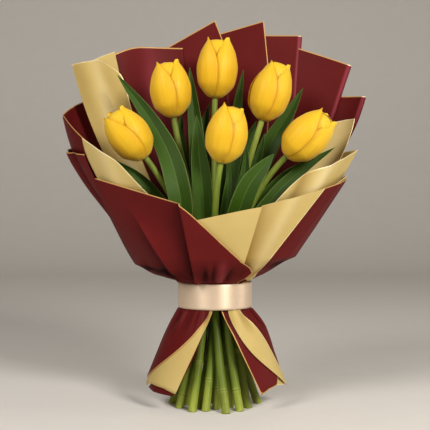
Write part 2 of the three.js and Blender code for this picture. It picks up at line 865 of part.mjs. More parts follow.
// Turns of twine laid side by side round the stems, as one ribbed ring.
function bindingMesh() {
  const halfWidth = TWINE_RADIUS * TWINE_TURNS * 0.9;
  const profile = [new THREE.Vector2(TWINE_INNER_RADIUS, BINDING_HEIGHT - halfWidth)];
  for (let turn = 0; turn < TWINE_TURNS; turn++) {
    const centre = BINDING_HEIGHT + (turn - (TWINE_TURNS - 1) / 2) * TWINE_RADIUS * 1.8;
    for (const [out, up] of [[1.1, -0.75], [1.95, 0], [1.1, 0.75]]) {
      profile.push(new THREE.Vector2(TWINE_INNER_RADIUS + out * TWINE_RADIUS, centre + up * TWINE_RADIUS));
    }
  }
  profile.push(new THREE.Vector2(TWINE_INNER_RADIUS, BINDING_HEIGHT + halfWidth), profile[0].clone());
  const geometry = new THREE.LatheGeometry(profile, 20);
  geometry.rotateX(Math.PI / 2);
  const mesh = new THREE.Mesh(geometry, material("twine"));
  mesh.name = "stem_binding";
  return mesh;
}

const bunch = new THREE.Group();
bunch.name = "bunch_of_tulips";
bunch.add(...STEMS.map(stemMesh));
bunch.add(...STEMS.filter((stem) => stem.bloom).map(bloomMesh));
bunch.add(bindingMesh(), ...SHEETS.map(sheetMesh), ribbonMesh());

export default bunch;
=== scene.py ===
"""A hand-tied bunch of six yellow tulips in two-tone paper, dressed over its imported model.

Lengths in the tables are millimetres, as in the part's source. Angles are degrees round the bunch
from its front, positive towards +X. Meshes are made in metres, each in its own place.
"""
from math import cos, pi, radians, sin, sqrt

import bpy
import numpy as np
from mathutils import Matrix, Vector


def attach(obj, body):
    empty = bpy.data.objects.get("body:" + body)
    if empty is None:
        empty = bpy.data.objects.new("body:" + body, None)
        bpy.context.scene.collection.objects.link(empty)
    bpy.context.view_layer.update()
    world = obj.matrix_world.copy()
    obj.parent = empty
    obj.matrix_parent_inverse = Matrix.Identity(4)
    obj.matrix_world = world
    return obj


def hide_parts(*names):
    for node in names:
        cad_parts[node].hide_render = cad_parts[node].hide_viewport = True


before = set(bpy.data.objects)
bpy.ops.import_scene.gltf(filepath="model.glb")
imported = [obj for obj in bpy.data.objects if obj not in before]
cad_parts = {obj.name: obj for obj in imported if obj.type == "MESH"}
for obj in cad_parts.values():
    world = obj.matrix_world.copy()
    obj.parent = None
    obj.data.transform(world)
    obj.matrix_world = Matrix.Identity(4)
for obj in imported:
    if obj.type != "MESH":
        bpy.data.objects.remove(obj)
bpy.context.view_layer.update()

MM = 0.001

# Camera and light, in metres
CAMERA_PLACE = (0.0, -1.0, 0.209)
CAMERA_LENS = 83.7
CAMERA_SENSOR = 36
CAMERA_PITCH = 88.85
CAMERA_NEAR = 0.05
LIGHT_TARGET = (0, 0, 0.2)
WORLD_COLOUR = (1.0, 0.97, 0.93, 1.0)
WORLD_STRENGTH = 0.14

# Lights, in metres: name, place, size, power and tint
LIGHTS = [
    ("key", (0.8, -1.2, 0.9), 0.5, 20, (1.0, 0.97, 0.92)),
    ("side", (1.3, 0.0, 0.4), 0.6, 2.5, (1.0, 0.97, 0.94)),
    ("fill", (-1.0, -1.2, 1.3), 0.8, 19, (1.0, 0.97, 0.94)),
]

# Floor, in metres
FLOOR_FRONT = -3
FLOOR_BACK = 1.6
FLOOR_BEND = 0.6
FLOOR_SIDE = 4
WALL_TOP = 3

# Wrapping paper
WAIST_TOP = 123
WAIST_BOTTOM = 97
INNERMOST_LAYER = 7
FAN_LAYER = 5
PAPER_THICKNESS = 0.35
PAPER_STEP = 2.0
PLEAT_REACH = 0.3
PLEAT_LAP = 2.2
SKIRT_ROWS = 26
FLARE_ROWS = 64
STRAIGHT_TOP = 148
ROLL_WIDTH = 4.5
ROLL_DEPTH = 3.2
# Painted shade on the inner faces of inner layers, and for each inner colour the heights over which it
# fades out upwards
DEPTH_SHADE = 0.85
DEPTH_SHADE_HEIGHTS = {"gold": (150, 235), "burgundy": (205, 345)}
USUAL_HEM = 94
SKIRT_HEM = 80
WHOLE_HEIGHT = 300
PLEAT_EDGE = 0.8
PLEAT_LAP_WIDTH = 1.5
PLEAT_COLUMNS = 41
FLARE_CROWDING = 1.4
RIM_ROWS = [0.986, 0.992, 0.996]
# Heights over which the painted sheen on rolled edges rises and the painted shade in folds thins out; dents
# shorter than SHADED_DENT carry painted shade
ROLL_PAINTED_SHEEN_HEIGHTS = (262, 300)
FOLD_SHADE_HEIGHTS = (140, 205)
SHADED_DENT = 10
FACET_FLATNESS = 0.85
FREE_STATIONS = (2.0, 2.25)
MOUTH_STATIONS = (2.3, 2.9)
FOLD_RISE = (WAIST_TOP, WAIST_TOP + 5)
FOLD_FADE_START = 0.4
PART_COLUMNS = 14
FAR_FROM_EDGE = 50.0
STRAIGHTENING_PASSES = 6
STEEPEST_SINE = 0.998

# Gathers at the ribbon: number round the bunch, height and start of each wave
GATHERS = [(13, 1, 0.6), (21, 0.6, 2.1), (34, 0.35, 1.2)]
GATHER_ABOVE = 0.8
GATHER_ABOVE_RISE = (WAIST_TOP, WAIST_TOP + 9)
GATHER_ABOVE_FADE = (128, 152)
GATHER_BELOW = 0.9
GATHER_BELOW_RISE = (WAIST_BOTTOM + 1, WAIST_BOTTOM - 3)
GATHER_BELOW_FADE = (WAIST_BOTTOM - 6, WAIST_BOTTOM - 28)

# Stems
BINDING_HEIGHT = 110
STEM_RADIUS_FOOT = 4.1
STEM_RADIUS_BINDING = 3.8
STEM_RADIUS_NECK = 2.9
STEM_FAN = 4.9
LEAF_STEM_TOP = 140
JOINT_LOWEST = 12
JOINT_STEP = 17
JOINT_SPAN = 43
JOINT_SWELL = 0.3
JOINT_LENGTH = 1.6
STEM_SIDES = 20
STEM_ROWS_BELOW = 60
STEM_ROWS_ABOVE = 40
STEM_PULL = 0.36
NECK_PULL = 0.3
BINDING_RINGS = {"centre": 0, "inner": 8.5, "outer": 16.5}

# Leaves
LEAF_ROOT_HEIGHT = 131
LEAF_ROOT_WIDTH = 6
LEAF_FOLD = 0.42
LEAF_COLUMNS = 14
LEAF_ROWS = 16
LEAF_WAVE = 0.35
LEAF_WAVES = 17
LEAF_CREST = 0.25
LEAF_CREST_WIDTH = 0.09

# Blooms
OUTER_RADIUS = 20.7
INNER_RADIUS = 18.8
BLOOM_HEIGHT = 60
BLOOM_SEAT = 0.3
PETAL_ROWS = 30
PETAL_COLUMNS = 19
PETAL_EDGE = 0.35
PETAL_SWELL = 0.55
PETAL_GROOVE = 0.35
PETAL_GROOVE_WIDTH = 0.1
PETAL_RIPPLE = 0.25
ANTHER_REACH = 7

# Ribbon and twine
RIBBON_WIDTH = 25
RIBBON_RADIUS = 36.9
RIBBON_LAP_ANGLE = 26
RIBBON_LAP_RISE = 1.3
RIBBON_LAP_START = 340
RIBBON_THICKNESS = 0.5
RIBBON_EDGE_DROP = 0.25
RIBBON_STEPS = 200
RIBBON_ROWS = 13
TWINE_RADIUS = 1.2
TWINE_TURNS = 5
TWINE_INNER_RADIUS = 21.1
TWINE_PITCH = 1.8
TWINE_SIDES = 10

# The wrap's outer surface: height, reach to the left, right, front and back, and the share of that
# reach which lies between the outermost and the innermost layer of paper.
FUNNEL = [
    (0, 82, 83, 64, 60, 0.22),
    (14, 74, 75, 60, 57, 0.23),
    (50, 59, 61.5, 52, 50, 0.26),
    (75, 48.5, 53, 45, 44, 0.29),
    (97, 35.6, 35.6, 35.6, 35.6, 0.315),
    (123, 35.6, 35.6, 35.6, 35.6, 0.315),
    (130, 60, 53, 44, 42, 0.52),
    (139, 80, 74, 54, 49, 0.5),
    (148, 85, 92, 60, 52, 0.41),
    (182, 104.5, 113, 71, 58, 0.27),
    (226, 137, 141, 82, 63, 0.2),
    (254, 153, 157, 88, 66, 0.18),
    (290, 163, 171, 95, 70, 0.17),
    (345, 172, 178, 104, 76, 0.16),
    (400, 184, 185, 112, 82, 0.15),
]


def cut_sheet(name, faces, layer, ribs, hem=USUAL_HEM, trim=("mouth",), folds=(), **looks):
    """A sheet's plan, with what its ribs and folds leave out filled in."""
    return {
        "name": name,
        "faces": faces,
        "layer": layer,
        "ribs": [rib if len(rib) == 7 else (*rib, *[rib[3]] * (6 - len(rib)), hem) for rib in ribs],
        "trim": trim,
        "folds": [(*fold, WHOLE_HEIGHT)[:5] for fold in folds],
        **looks,
    }


# A rib runs from the mouth of the wrap down to the hem: mouth angle, mouth height, angle halfway up,
# waist angle, angle halfway down, hem angle, hem height. Angles below the waist are left out where
# they are the waist's, and the height where it is the sheet's hem. curved joins the ribs by a smooth
# line. slant is added to the layer on the way to the last rib. straight is the first of the ribs that
# are straight as seen from the front. facets are the ribs between which the paper is stretched flat,
# and mouth_facet those between which only its mouth is. trim names the edges that carry the gold line,
# trim_width is how many times its usual width that line has, and rolled curls the last edge away.
# A fold lies along a rib: place among the ribs, height, width, kind and, where it ends early, how far
# it reaches above the waist. A pleat laps over itself, with painted shade on its low side; a wave is soft,
# with painted shade where it sinks and a painted sheen where it rises; a fold has a painted sheen along its
# crest.
# A dent has its place, its level, its width, its height and its depth; a short dent carries painted shade.
# A rolled edge carries a painted sheen along it.
SHEETS = [
    cut_sheet(
        "wrap_front_left", ("burgundy", "gold"), 0,
        [(-57, 225, -77.5, -96, -100, -104), (-49, 221, -42, -66, -84, -82),
         (-31.8, 212, -30, -52, -58, -60), (-24, 206.3, -22, -40, -44, -46),
         (-15.8, 201, -15, -29, -30, -32), (-7.2, 182.8, -9, -19, -20, -20), (-2.2, 173.7, -4, -10),
         (3.2, 164.4, 2, 0), (9.5, 155.1, 9, 9), (17, 145.5, 17, 18), (32.5, 135, 35, 38, 41, 41)],
        hem=99, trim=("mouth", "last"), straight=1, facets=(0, 1, 4), mouth_facet=(0, 4),
        folds=[(1, -4.5, 14, "pleat", 84), (4, -5, 12, "pleat"), (6.6, -2, 2.8, "wave", 26),
               (8.6, -2, 2.6, "wave", 22), (7.6, 1.2, 4, "wave", 30), (5.4, -1.4, 2.8, "wave", 22)],
        dents=[(0.25, 137, 15, 2.6, -0.6), (0.7, 133.5, 13, 3.5, -2.6)],
    ),
    cut_sheet(
        "wrap_front_right", ("gold", "burgundy"), 1,
        [(-12, 184.3, -12, -14, -12, -4), (5, 191, 6, 14, 15, 15), (21.7, 198.7, 20, 38),
         (30, 203, 27, 50), (43, 209, 36, 66), (54.4, 215, 44, 85)],
        hem=99, trim=("last",), straight=0, facets=(0, 2, 5),
        folds=[(2, 3.6, 16, "pleat"), (3.6, 1.4, 8, "wave")],
        dents=[(1.55, 129, 18, 11, -5.5)],
    ),
    cut_sheet(
        "wrap_right_side", ("burgundy", "gold"), 2,
        [(40, 202, 32, 12, 18, 20), (50, 212, 44, 26, 27, 28), (60, 217, 54, 42), (71, 221, 66, 60),
         (81, 225, 80, 82), (105, 222, 104, 102), (130, 224, 128, 122)],
        hem=99, facets=(2, 3, 4, 6),
        dents=[(3.3, 141, 16, 4, -1.5)],
    ),
    cut_sheet(
        "wrap_right_gold_low", ("gold", "gold"), 3,
        [(34, 196, 30, 26), (44, 206, 42, 38), (53, 211, 52, 50), (70, 220.5, 68, 66),
         (88, 229.5, 86, 84), (102, 226, 101, 100)],
        slant=-0.4, curved=True,
        folds=[(2.6, 1.0, 14, "wave")],
        dents=[(3, 138, 45, 16, -3.5)],
    ),
    cut_sheet(
        "wrap_right_gold", ("gold", "gold"), 4,
        [(31, 200, 28, 24), (39, 222, 37, 34), (49, 234, 47, 45), (65, 244, 63, 60), (88, 254, 84, 80),
         (99, 254.5, 98, 100), (121, 251, 116, 112)],
        slant=-0.6, curved=True, facets=(3, 4, 6),
        folds=[(1.5, -2.4, 9, "wave"), (2.4, 2.8, 10, "wave")],
    ),
    cut_sheet(
        "wrap_right_gold_tall", ("gold", "gold"), 7,
        [(97, 286, 84, 84), (109, 286, 98, 94), (121, 284, 112, 104), (133, 278, 126, 114)],
        trim=("mouth", "first"),
        folds=[(1.4, 1.2, 32, "wave")],
    ),
    cut_sheet(
        "wrap_left_gold", ("gold", "gold"), 2,
        [(-59, 264, -64, -68), (-50, 253, -54, -58), (-42, 241, -46, -48), (-34, 212, -36, -38),
         (-24, 190, -26, -28)],
        curved=True,
        folds=[(1.3, 1.0, 12, "wave")],
        dents=[(2, 142, 60, 26, -3), (2.6, 196, 34, 26, -5)],
    ),
    cut_sheet(
        "wrap_left_collar", ("burgundy", "burgundy"), 3,
        [(-128, 310, -124, -120), (-118, 305, -114, -110), (-94, 291, -96, -98), (-82, 287, -85, -88),
         (-62, 265, -68, -74), (-54, 252, -58, -62)],
        trim=("mouth", "first"), curved=True,
        folds=[(2.5, 1.4, 8, "wave")],
    ),
    cut_sheet(
        "wrap_left_outer", ("burgundy", "burgundy"), 1.4,
        [(-116, 254, -122, -134, -130, -126, 40), (-100, 256, -108, -118, -116, -114, 38),
         (-86, 253, -94, -102, -101, -100), (-72, 250, -80, -88, -89, -90),
         (-60, 248, -66, -74, -76, -80)],
        hem=36,
        folds=[(2.4, -3.0, 9, "pleat"), (3.0, -2.2, 5, "wave")],
    ),
    cut_sheet(
        "wrap_back_1", ("gold", "burgundy"), 5,
        [(240, 336, 238, 232), (229, 347, 228, 224), (222, 358, 220, 218), (210, 365, 209, 208),
         (193, 365, 191, 194)],
        slant=1.5, curved=True, trim_width=1.4,
        folds=[(3.2, -8.0, 22, "fold")],
    ),
    cut_sheet(
        "wrap_back_2", ("gold", "burgundy"), 5,
        [(204, 358, 205, 206), (197, 368, 198, 199, 199, 199, 34), (180, 395, 180, 180, 180, 180, 34),
         (175, 360, 173, 172)],
        hem=38, slant=1.5, facets=(0, 2), rolled=True,
    ),
    cut_sheet(
        "wrap_back_3", ("gold", "burgundy"), 5,
        [(183, 377, 183, 182), (178, 381, 178, 177), (161, 394, 161, 162), (157, 331, 156, 156)],
        trim=("mouth", "last"), slant=1.5, facets=(0, 2),
    ),
    cut_sheet(
        "wrap_back_4", ("gold", "burgundy"), 5,
        [(166, 379, 166, 168, 170, 172, 38), (160, 379, 160, 160, 161, 162), (144, 377, 144, 144)],
        hem=36, slant=1.5, facets=(0, 2), rolled=True,
    ),
    cut_sheet(
        "wrap_back_5", ("gold", "burgundy"), 5,
        [(150, 367, 150, 150), (144, 362, 144, 144), (129, 353, 131, 131), (113, 342, 126, 120)],
        slant=1.5, facets=(0, 3), rolled=True,
    ),
    cut_sheet(
        "wrap_back_6", ("gold", "burgundy"), 5,
        [(134, 306, 134, 136, 138, 140), (124, 311, 127, 127), (112, 310, 119, 117, 116, 116),
         (101, 309, 113, 108, 106, 105, 44)],
        hem=40, rolled=True,
    ),
    cut_sheet(
        "wrap_left_tall", ("gold", "gold"), 7,
        [(268, 339, 247, 252), (255, 343, 240, 243), (244, 346, 232, 233), (237, 348, 227, 226),
         (223, 334, 219.5, 219), (219, 298, 217, 216)],
        curved=True,
        folds=[(2.3, -10.0, 19, "fold"), (0.6, -1.5, 10, "wave")],
    ),
]

# Further parts of a sheet, each between an upper and a lower edge: faces, trimmed edges and ribs. A rib
# gives the upper angle and height, the angle halfway, the lower angle and height, and its layer.
PARTS = {
    # The burgundy face down to a trimmed slanting edge, the corner folded out from under it so that its
    # gold face shows, and the paper's own edge under that corner.
    "wrap_front_left": [
        (("burgundy", "gold"), ("last",),
         [(-112, 99, -108, -104, 34, 0), (-78, 99, -88, -98, 32, 0), (-42, 99, -66, -92, 30, 0),
          (-18, 99, -46, -88, 28, 0), (-5.5, 99, -35, -85, 27, 0)]),
        (("gold", "gold"), (),
         [(-8, 99, -39, -88, 26.5, 0.5), (-7.7, 99, -38, -77, 20.5, 0.5),
          (-7.2, 99, -36, -68, 24.3, 0.5), (-4.5, 99, -27, -46, 22.5, 0.5),
          (-2.5, 99, -20.5, -32.4, 18.6, 0.5)]),
        (("burgundy", "burgundy"), (),
         [(-16, 99, -38, -74, 19.5, 1.4), (-12, 99, -30, -60, 17, 1.4), (-7, 99, -20, -36, 16, 1.4)]),
    ],
    # A gold band that slants across the burgundy paper to its corner.
    "wrap_front_right": [
        (("gold", "burgundy"), ("last",),
         [(21, 99, 36, 85, 19.5, 0.5), (28, 99, 46, 87, 19.4, 0.3), (35, 99, 57, 89, 19.3, 0.3),
          (42, 99, 68, 91, 19.2, 0.3)]),
    ],
    # The burgundy face with its trimmed front edge, and the gold face of the corner behind it.
    "wrap_right_side": [
        (("burgundy", "gold"), ("first", "hem"),
         [(9, 99, 27, 39.6, 16.8, 1.4), (20, 99, 37, 50, 20.8, 1.4), (34, 99, 50, 63, 23, 1.2),
          (50, 99, 64, 72, 33, 0.9), (82, 99, 86, 90, 40, 0.5), (102, 99, 102, 102, 44, 0.8),
          (122, 99, 120, 118, 46, 1.4)]),
        (("gold", "gold"), ("hem",),
         [(50, 99, 60, 60, 23, 2.4), (62, 99, 72, 74, 21, 1.8), (72, 99, 80, 88, 19.4, 1.2)]),
    ],
    # The far side of the rolled sheet, seen behind its slanting front edge.
    "wrap_left_tall": [
        (("gold", "gold"), ("mouth",),
         [(242, 346, 236, 232, 240, 6.6), (233, 353, 229, 226, 240, 6.6),
          (224.6, 359, 222, 220, 240, 6.6)]),
    ],
}

# Each stem leaves the binding at its angle in a ring. A leaf follows its points from the tip down.
STEMS = [
    {"name": "stem_bloom_1", "ring": "outer", "angle": -80, "foot": (-35, -22),
     "bloom": ((-67.5, -25, 245), (-100, -35, 289), 12)},
    {"name": "stem_bloom_2", "ring": "inner", "angle": -90, "foot": (-27, -9),
     "bloom": ((-41, 0, 286), (-49, 0, 342), 10)},
    {"name": "stem_bloom_3", "ring": "inner", "angle": 180, "foot": (-15.5, -23),
     "bloom": ((0, 20, 307), (3, 22, 368), -4)},
    {"name": "stem_bloom_4", "ring": "outer", "angle": 0, "foot": (10.5, -48),
     "bloom": ((5.5, -45, 239), (17, -48, 294), 8)},
    {"name": "stem_bloom_5", "ring": "inner", "angle": 90, "foot": (14.5, -19),
     "bloom": ((46.6, 0, 283), (64, 0, 341), 8),
     "leaves": [(11, [(50, 7, 271), (44, 6, 249), (35, 5, 215), (20, 3, 165)])]},
    {"name": "stem_bloom_6", "ring": "outer", "angle": 80, "foot": (32.5, -22),
     "bloom": ((69, -25, 246), (110, -32, 286), 6),
     "leaves": [(16, [(95, -1, 245), (72, 0, 228), (52, -1, 206), (28, -3, 165)])]},
    {"name": "stem_leaf_front", "ring": "inner", "angle": 0, "foot": (-9, -37),
     "leaves": [(19, [(-18, -29, 286), (-16, -30, 253), (-13, -27, 224), (-9, -22, 180)]),
                (9, [(15, -19, 238), (13, -20, 220), (10, -19, 195), (5, -14, 160)])]},
    {"name": "stem_leaf_front_left", "ring": "outer", "angle": -40, "foot": (-22, -40),
     "leaves": [(23, [(-97.5, 4, 329), (-69, -4, 291), (-46, -20, 251), (-35, -31, 214),
                      (-28, -23, 165)])]},
    {"name": "stem_leaf_front_right", "ring": "outer", "angle": 40, "foot": (24, -37),
     "leaves": [(21, [(56, -50, 248), (45, -51, 235), (33, -50, 219), (22, -42, 190), (14, -24, 155)]),
                (12, [(31, -10, 262), (30, -10, 234), (26, -12, 210), (18, -13, 165)]),
                (14, [(119, -4, 256), (94, -8, 240), (73, -13, 223), (54, -19, 203), (26, -21, 165)])]},
    {"name": "stem_leaf_left", "ring": "outer", "angle": -120, "foot": (-43, 0),
     "leaves": [(13, [(-98, -12, 243), (-75, -8, 226), (-56, -3, 204), (-30, 4, 165)]),
                (14, [(-34, 22, 292), (-36, 22, 270), (-33, 20, 240), (-24, 14, 185)])]},
    {"name": "stem_leaf_right", "ring": "outer", "angle": 120, "foot": (43, 0),
     "leaves": [(20, [(89, 15, 317), (74, 14, 290), (57, 13, 262), (42, 12, 228), (26, 11, 175)]),
                (11, [(42, 20, 284), (36, 20, 268), (31, 20, 240), (22, 16, 185)])]},
    {"name": "stem_leaf_back_left", "ring": "outer", "angle": -160, "foot": (0, 34),
     "leaves": [(13, [(-5, 33, 305), (-11, 32, 278), (-12, 30, 245), (-9, 24, 190)])]},
    {"name": "stem_leaf_back_right", "ring": "outer", "angle": 160, "foot": (0, 0),
     "leaves": [(11, [(10, 33, 304), (7, 32, 275), (6, 30, 240), (5, 24, 185)]),
                (14, [(29, 26, 337), (24, 27, 306), (21, 27, 268), (18, 26, 225), (12, 21, 175)])]},
    {"name": "stem_leaf_centre", "ring": "centre", "angle": 0, "foot": (1.5, -28),
     "leaves": [(17, [(-25.7, 22, 339), (-23, 17, 308), (-18.5, 9, 265), (-16, 8, 225), (-10, 8, 175)])]},
]

# Petal outlines from root to tip: height and radius as shares of the bloom's, half angle spanned.
OUTER_PETAL = [
    (0.004, 0.15, 58),
    (0.03, 0.36, 64),
    (0.1, 0.6, 68),
    (0.25, 0.9, 70),
    (0.5, 1, 68),
    (0.73, 0.87, 57),
    (0.86, 0.71, 40),
    (0.95, 0.57, 21),
    (1, 0.52, 4),
]
INNER_PETAL = [
    (0.04, 0.2, 44),
    (0.1, 0.5, 52),
    (0.24, 0.78, 57),
    (0.5, 0.88, 63),
    (0.74, 0.8, 66),
    (0.89, 0.66, 70),
    (0.957, 0.46, 72),
    (0.982, 0.02, 72),
]


def colour(red, green, blue):
    """A colour as it is seen, in steps of 255, as the shader takes it."""
    def linear(value):
        share = value / 255
        return share / 12.92 if share <= 0.04045 else ((share + 0.055) / 1.055) ** 2.4
    return (linear(red), linear(green), linear(blue), 1.0)


def smoothstep(low, high, values):
    share = np.clip((values - low) / (high - low), 0, 1)
    return share * share * (3 - 2 * share)


def bell(values, width):
    """1 at zero, fading smoothly to both sides."""
    return np.exp(-((values / width) ** 2))


def around(angle, radius, z):
    """A point at an angle round the bunch."""
    return np.array([radius * sin(radians(angle)), -radius * cos(radians(angle)), z])


def unit_vectors(vectors):
    return vectors / np.maximum(np.linalg.norm(vectors, axis=2, keepdims=True), 1e-9)


# Nodes

def set_inputs(node, values):
    """Inputs of a node, each given a socket or a value."""
    for key, value in values.items():
        if isinstance(value, bpy.types.NodeSocket):
            node.id_data.links.new(value, node.inputs[key])
        else:
            node.inputs[key].default_value = value


def add_node(tree, kind, values=None, **settings):
    node = tree.nodes.new(kind)
    for key, value in settings.items():
        setattr(node, key, value)
    set_inputs(node, values or {})
    return node


def result(tree, kind, values=None, **settings):
    """What a new node gives."""
    return add_node(tree, kind, values, **settings).outputs[0]


def compute(tree, operation, *values):
    """What a calculation on sockets and values gives."""
    return result(tree, "ShaderNodeMath", dict(enumerate(values)), operation=operation)


def separate(tree, vector):
    return add_node(tree, "ShaderNodeSeparateXYZ", {"Vector": vector}).outputs


# Materials

def new_material(name, roughness, metallic=0.0):
    """A material, its tree of nodes and its shader."""
    material = bpy.data.materials.new(name)
    material.use_nodes = True
    shader = material.node_tree.nodes["Principled BSDF"]
    set_inputs(shader, {"Roughness": roughness, "Metallic": metallic})
    return material, material.node_tree, shader


def noise(tree, coordinates, scale, stretch=(1, 1, 1), detail=3):
    """Noise over the coordinates, stretched along the directions with small numbers."""
    mapped = result(tree, "ShaderNodeMapping", {"Scale": stretch, "Vector": coordinates})
    return result(tree, "ShaderNodeTexNoise", {"Scale": scale, "Detail": detail, "Vector": mapped})


def ramp(tree, factor, stops):
    node = add_node(tree, "ShaderNodeValToRGB", {"Fac": factor})
    elements = node.color_ramp.elements
    while len(elements) < len(stops):
        elements.new(0.5)
    for element, (position, shade) in zip(elements, stops):
        element.position = position
        element.color = colour(*shade)
    return node.outputs["Color"]


def blend_colours(tree, factor, first, second):
    first, second = [colour(*value) if isinstance(value, tuple) else value for value in (first, second)]
    values = {"Factor": factor, 6: first, 7: second}
    return add_node(tree, "ShaderNodeMix", values, data_type="RGBA").outputs[2]


def map_range(tree, value, low, high, start=0.0, end=1.0):
    values = {"Value": value, "From Min": low, "From Max": high, "To Min": start, "To Max": end}
    return result(tree, "ShaderNodeMapRange", values)


def tinted(tree, base, value, span, tint):
    """The base blended towards a tint as a value crosses a span: low, high and the share at each."""
    return blend_colours(tree, map_range(tree, value, *span), base, tint)


def bump(tree, height, strength, distance):
    return result(tree, "ShaderNodeBump", {"Strength": strength, "Distance": distance, "Height": height})


def object_coordinates(tree):
    return add_node(tree, "ShaderNodeTexCoord").outputs["Object"]


def uv_coordinates(tree):
    return result(tree, "ShaderNodeUVMap", uv_map="UVMap")


def attribute(tree, label):
    return add_node(tree, "ShaderNodeAttribute", attribute_name=label).outputs["Fac"]


def from_middle(tree, value):
    """How far a value that runs from 0 to 1 is from the middle."""
    return compute(tree, "ABSOLUTE", compute(tree, "SUBTRACT", value, 0.5))


def paper(name, face, cloud, painted_shade_colour, painted_sheen_colour, gilt):
    """Satin-faced paper: faintly cloudy, with painted shade in its folds and hollows, painted sheen on its
    crests and rolled edges, and a gold line along trimmed edges that the painted sheen turns cream.
    """
    material, tree, shader = new_material(name, 0.46)
    clouds = noise(tree, object_coordinates(tree), 16, detail=4)
    tone = ramp(tree, clouds, [(0.3, cloud), (0.7, face)])
    shade, painted_sheen, edge = [attribute(tree, label) for label in ("shade", "painted_sheen", "edge")]
    # Painted sheen: the tone lightened towards a pale colour where a crest or a rolled edge would catch the
    # light.
    with_painted_sheen = tinted(tree, tone, painted_sheen, (0, 1, 0, 0.7), painted_sheen_colour)
    line = map_range(tree, edge, 0.7, 1.1, 1.0, 0.0)
    # Painted highlight: the gold line turns cream where the painted sheen lies on it.
    lined = blend_colours(tree, line, with_painted_sheen, blend_colours(tree, painted_sheen, gilt, (252, 238, 208)))
    fibres = noise(tree, uv_coordinates(tree), 900, stretch=(1, 0.25, 1), detail=2)
    # Painted shade: the colour deepens towards a dark tone where the shade attribute marks folds, dents,
    # gathers and the depths of the bunch.
    set_inputs(shader, {
        "Base Color": blend_colours(tree, shade, lined, painted_shade_colour),
        "Roughness": map_range(tree, shade, 0, 1, 0.46, 0.85),
        "Specular IOR Level": 0.07,
        "Metallic": map_range(tree, line, 0, 1, 0.0, 0.3),
        "Normal": bump(tree, fibres, 0.12, 0.0002),
    })
    return material


def petal_material():
    """Yellow petal: deeper at the root, fine streaks along its length, a soft waxy sheen, and painted shade
    along its sides where the petals overlap.
    """
    material, tree, shader = new_material("tulip petal", 0.5)
    uv = uv_coordinates(tree)
    parts = separate(tree, uv)
    body = ramp(tree, parts["Y"], [
        (0.0, (190, 148, 26)),
        (0.1, (224, 172, 18)),
        (0.5, (230, 176, 20)),
        (1.0, (240, 192, 38)),
    ])
    streaks = noise(tree, uv, 9, stretch=(5, 0.35, 1), detail=4)
    streaked = tinted(tree, body, streaks, (0.35, 0.75, 0, 0.45), (250, 204, 54))
    side = from_middle(tree, parts["X"])
    # Painted shade beside the seams, darkest in a thin line at the very edge.
    seam_painted_shade = tinted(tree, streaked, side, (0.3, 0.47, 0, 0.45), (222, 158, 8))
    set_inputs(shader, {
        "Base Color": tinted(tree, seam_painted_shade, side, (0.47, 0.495, 0, 0.55), (190, 124, 4)),
        "Specular IOR Level": 0.25,
        "Subsurface Weight": 0.2,
        "Subsurface Radius": (1.0, 0.5, 0.1),
        "Subsurface Scale": 0.004,
        "Sheen Weight": 0.12,
        "Normal": bump(tree, streaks, 0.12, 0.0006),
    })
    return material


def leaf_material():
    """Tulip leaf: parallel veins, painted shade over one half, a painted highlight along the midrib, and a
    pale edge.
    """
    material, tree, shader = new_material("tulip leaf", 0.46)
    uv = uv_coordinates(tree)
    parts = separate(tree, uv)
    body = ramp(tree, parts["Y"], [(0.0, (64, 92, 16)), (0.3, (52, 80, 12)), (1.0, (46, 76, 12))])
    veins = noise(tree, uv, 14, stretch=(6, 0.12, 1))
    veined = tinted(tree, body, veins, (0.4, 0.7, 0, 0.5), (78, 106, 34))
    # Painted shade over one half of the blade.
    half_in_painted_shade = tinted(tree, veined, parts["X"], (0.42, 0.58, 0, 0.4), (28, 48, 6))
    side = from_middle(tree, parts["X"])
    # Painted highlight along the midrib.
    midrib_painted_highlight = tinted(tree, half_in_painted_shade, side, (0.008, 0.03, 0.25, 0), (120, 146, 66))
    set_inputs(shader, {
        "Base Color": tinted(tree, midrib_painted_highlight, side, (0.475, 0.495, 0, 0.6), (130, 152, 76)),
        "Specular IOR Level": 0.2,
        "Normal": bump(tree, veins, 0.5, 0.0006),
    })
    return material


def stem_material():
    """Green stem, lighter towards its cut end, with faint lengthwise streaks and a ring at its joint."""
    material, tree, shader = new_material("tulip stem", 0.45)
    place = object_coordinates(tree)
    body = ramp(tree, map_range(tree, separate(tree, place)["Z"], 0, 0.3), [
        (0.0, (158, 166, 62)),
        (0.1, (116, 132, 40)),
        (0.25, (76, 92, 26)),
        (0.5, (112, 128, 44)),
        (1.0, (142, 156, 66)),
    ])
    streaks = noise(tree, place, 260, stretch=(1, 1, 0.06))
    streaked = tinted(tree, body, streaks, (0.4, 0.75, 0, 0.5), (84, 112, 30))
    patches = noise(tree, place, 42, stretch=(1, 1, 0.3), detail=2)
    mottled = tinted(tree, streaked, patches, (0.45, 0.7, 0, 0.6), (70, 76, 26))
    gap = compute(tree, "ABSOLUTE", attribute(tree, "joint"))
    scar = tinted(tree, mottled, gap, (0.8, 2.6, 0.3, 0), (168, 178, 84))
    set_inputs(shader, {
        "Base Color": tinted(tree, scar, gap, (0.2, 0.8, 0.6, 0), (60, 58, 18)),
        "Specular IOR Level": 0.2,
        "Normal": bump(tree, streaks, 0.3, 0.0004),
    })
    return material


def plain_fibre_material(name, light, dark, roughness, scale):
    material, tree, shader = new_material(name, roughness)
    grain = noise(tree, object_coordinates(tree), scale, detail=4)
    set_inputs(shader, {
        "Base Color": ramp(tree, grain, [(0.3, dark), (0.7, light)]),
        "Normal": bump(tree, grain, 0.5, 0.0004),
    })
    return material


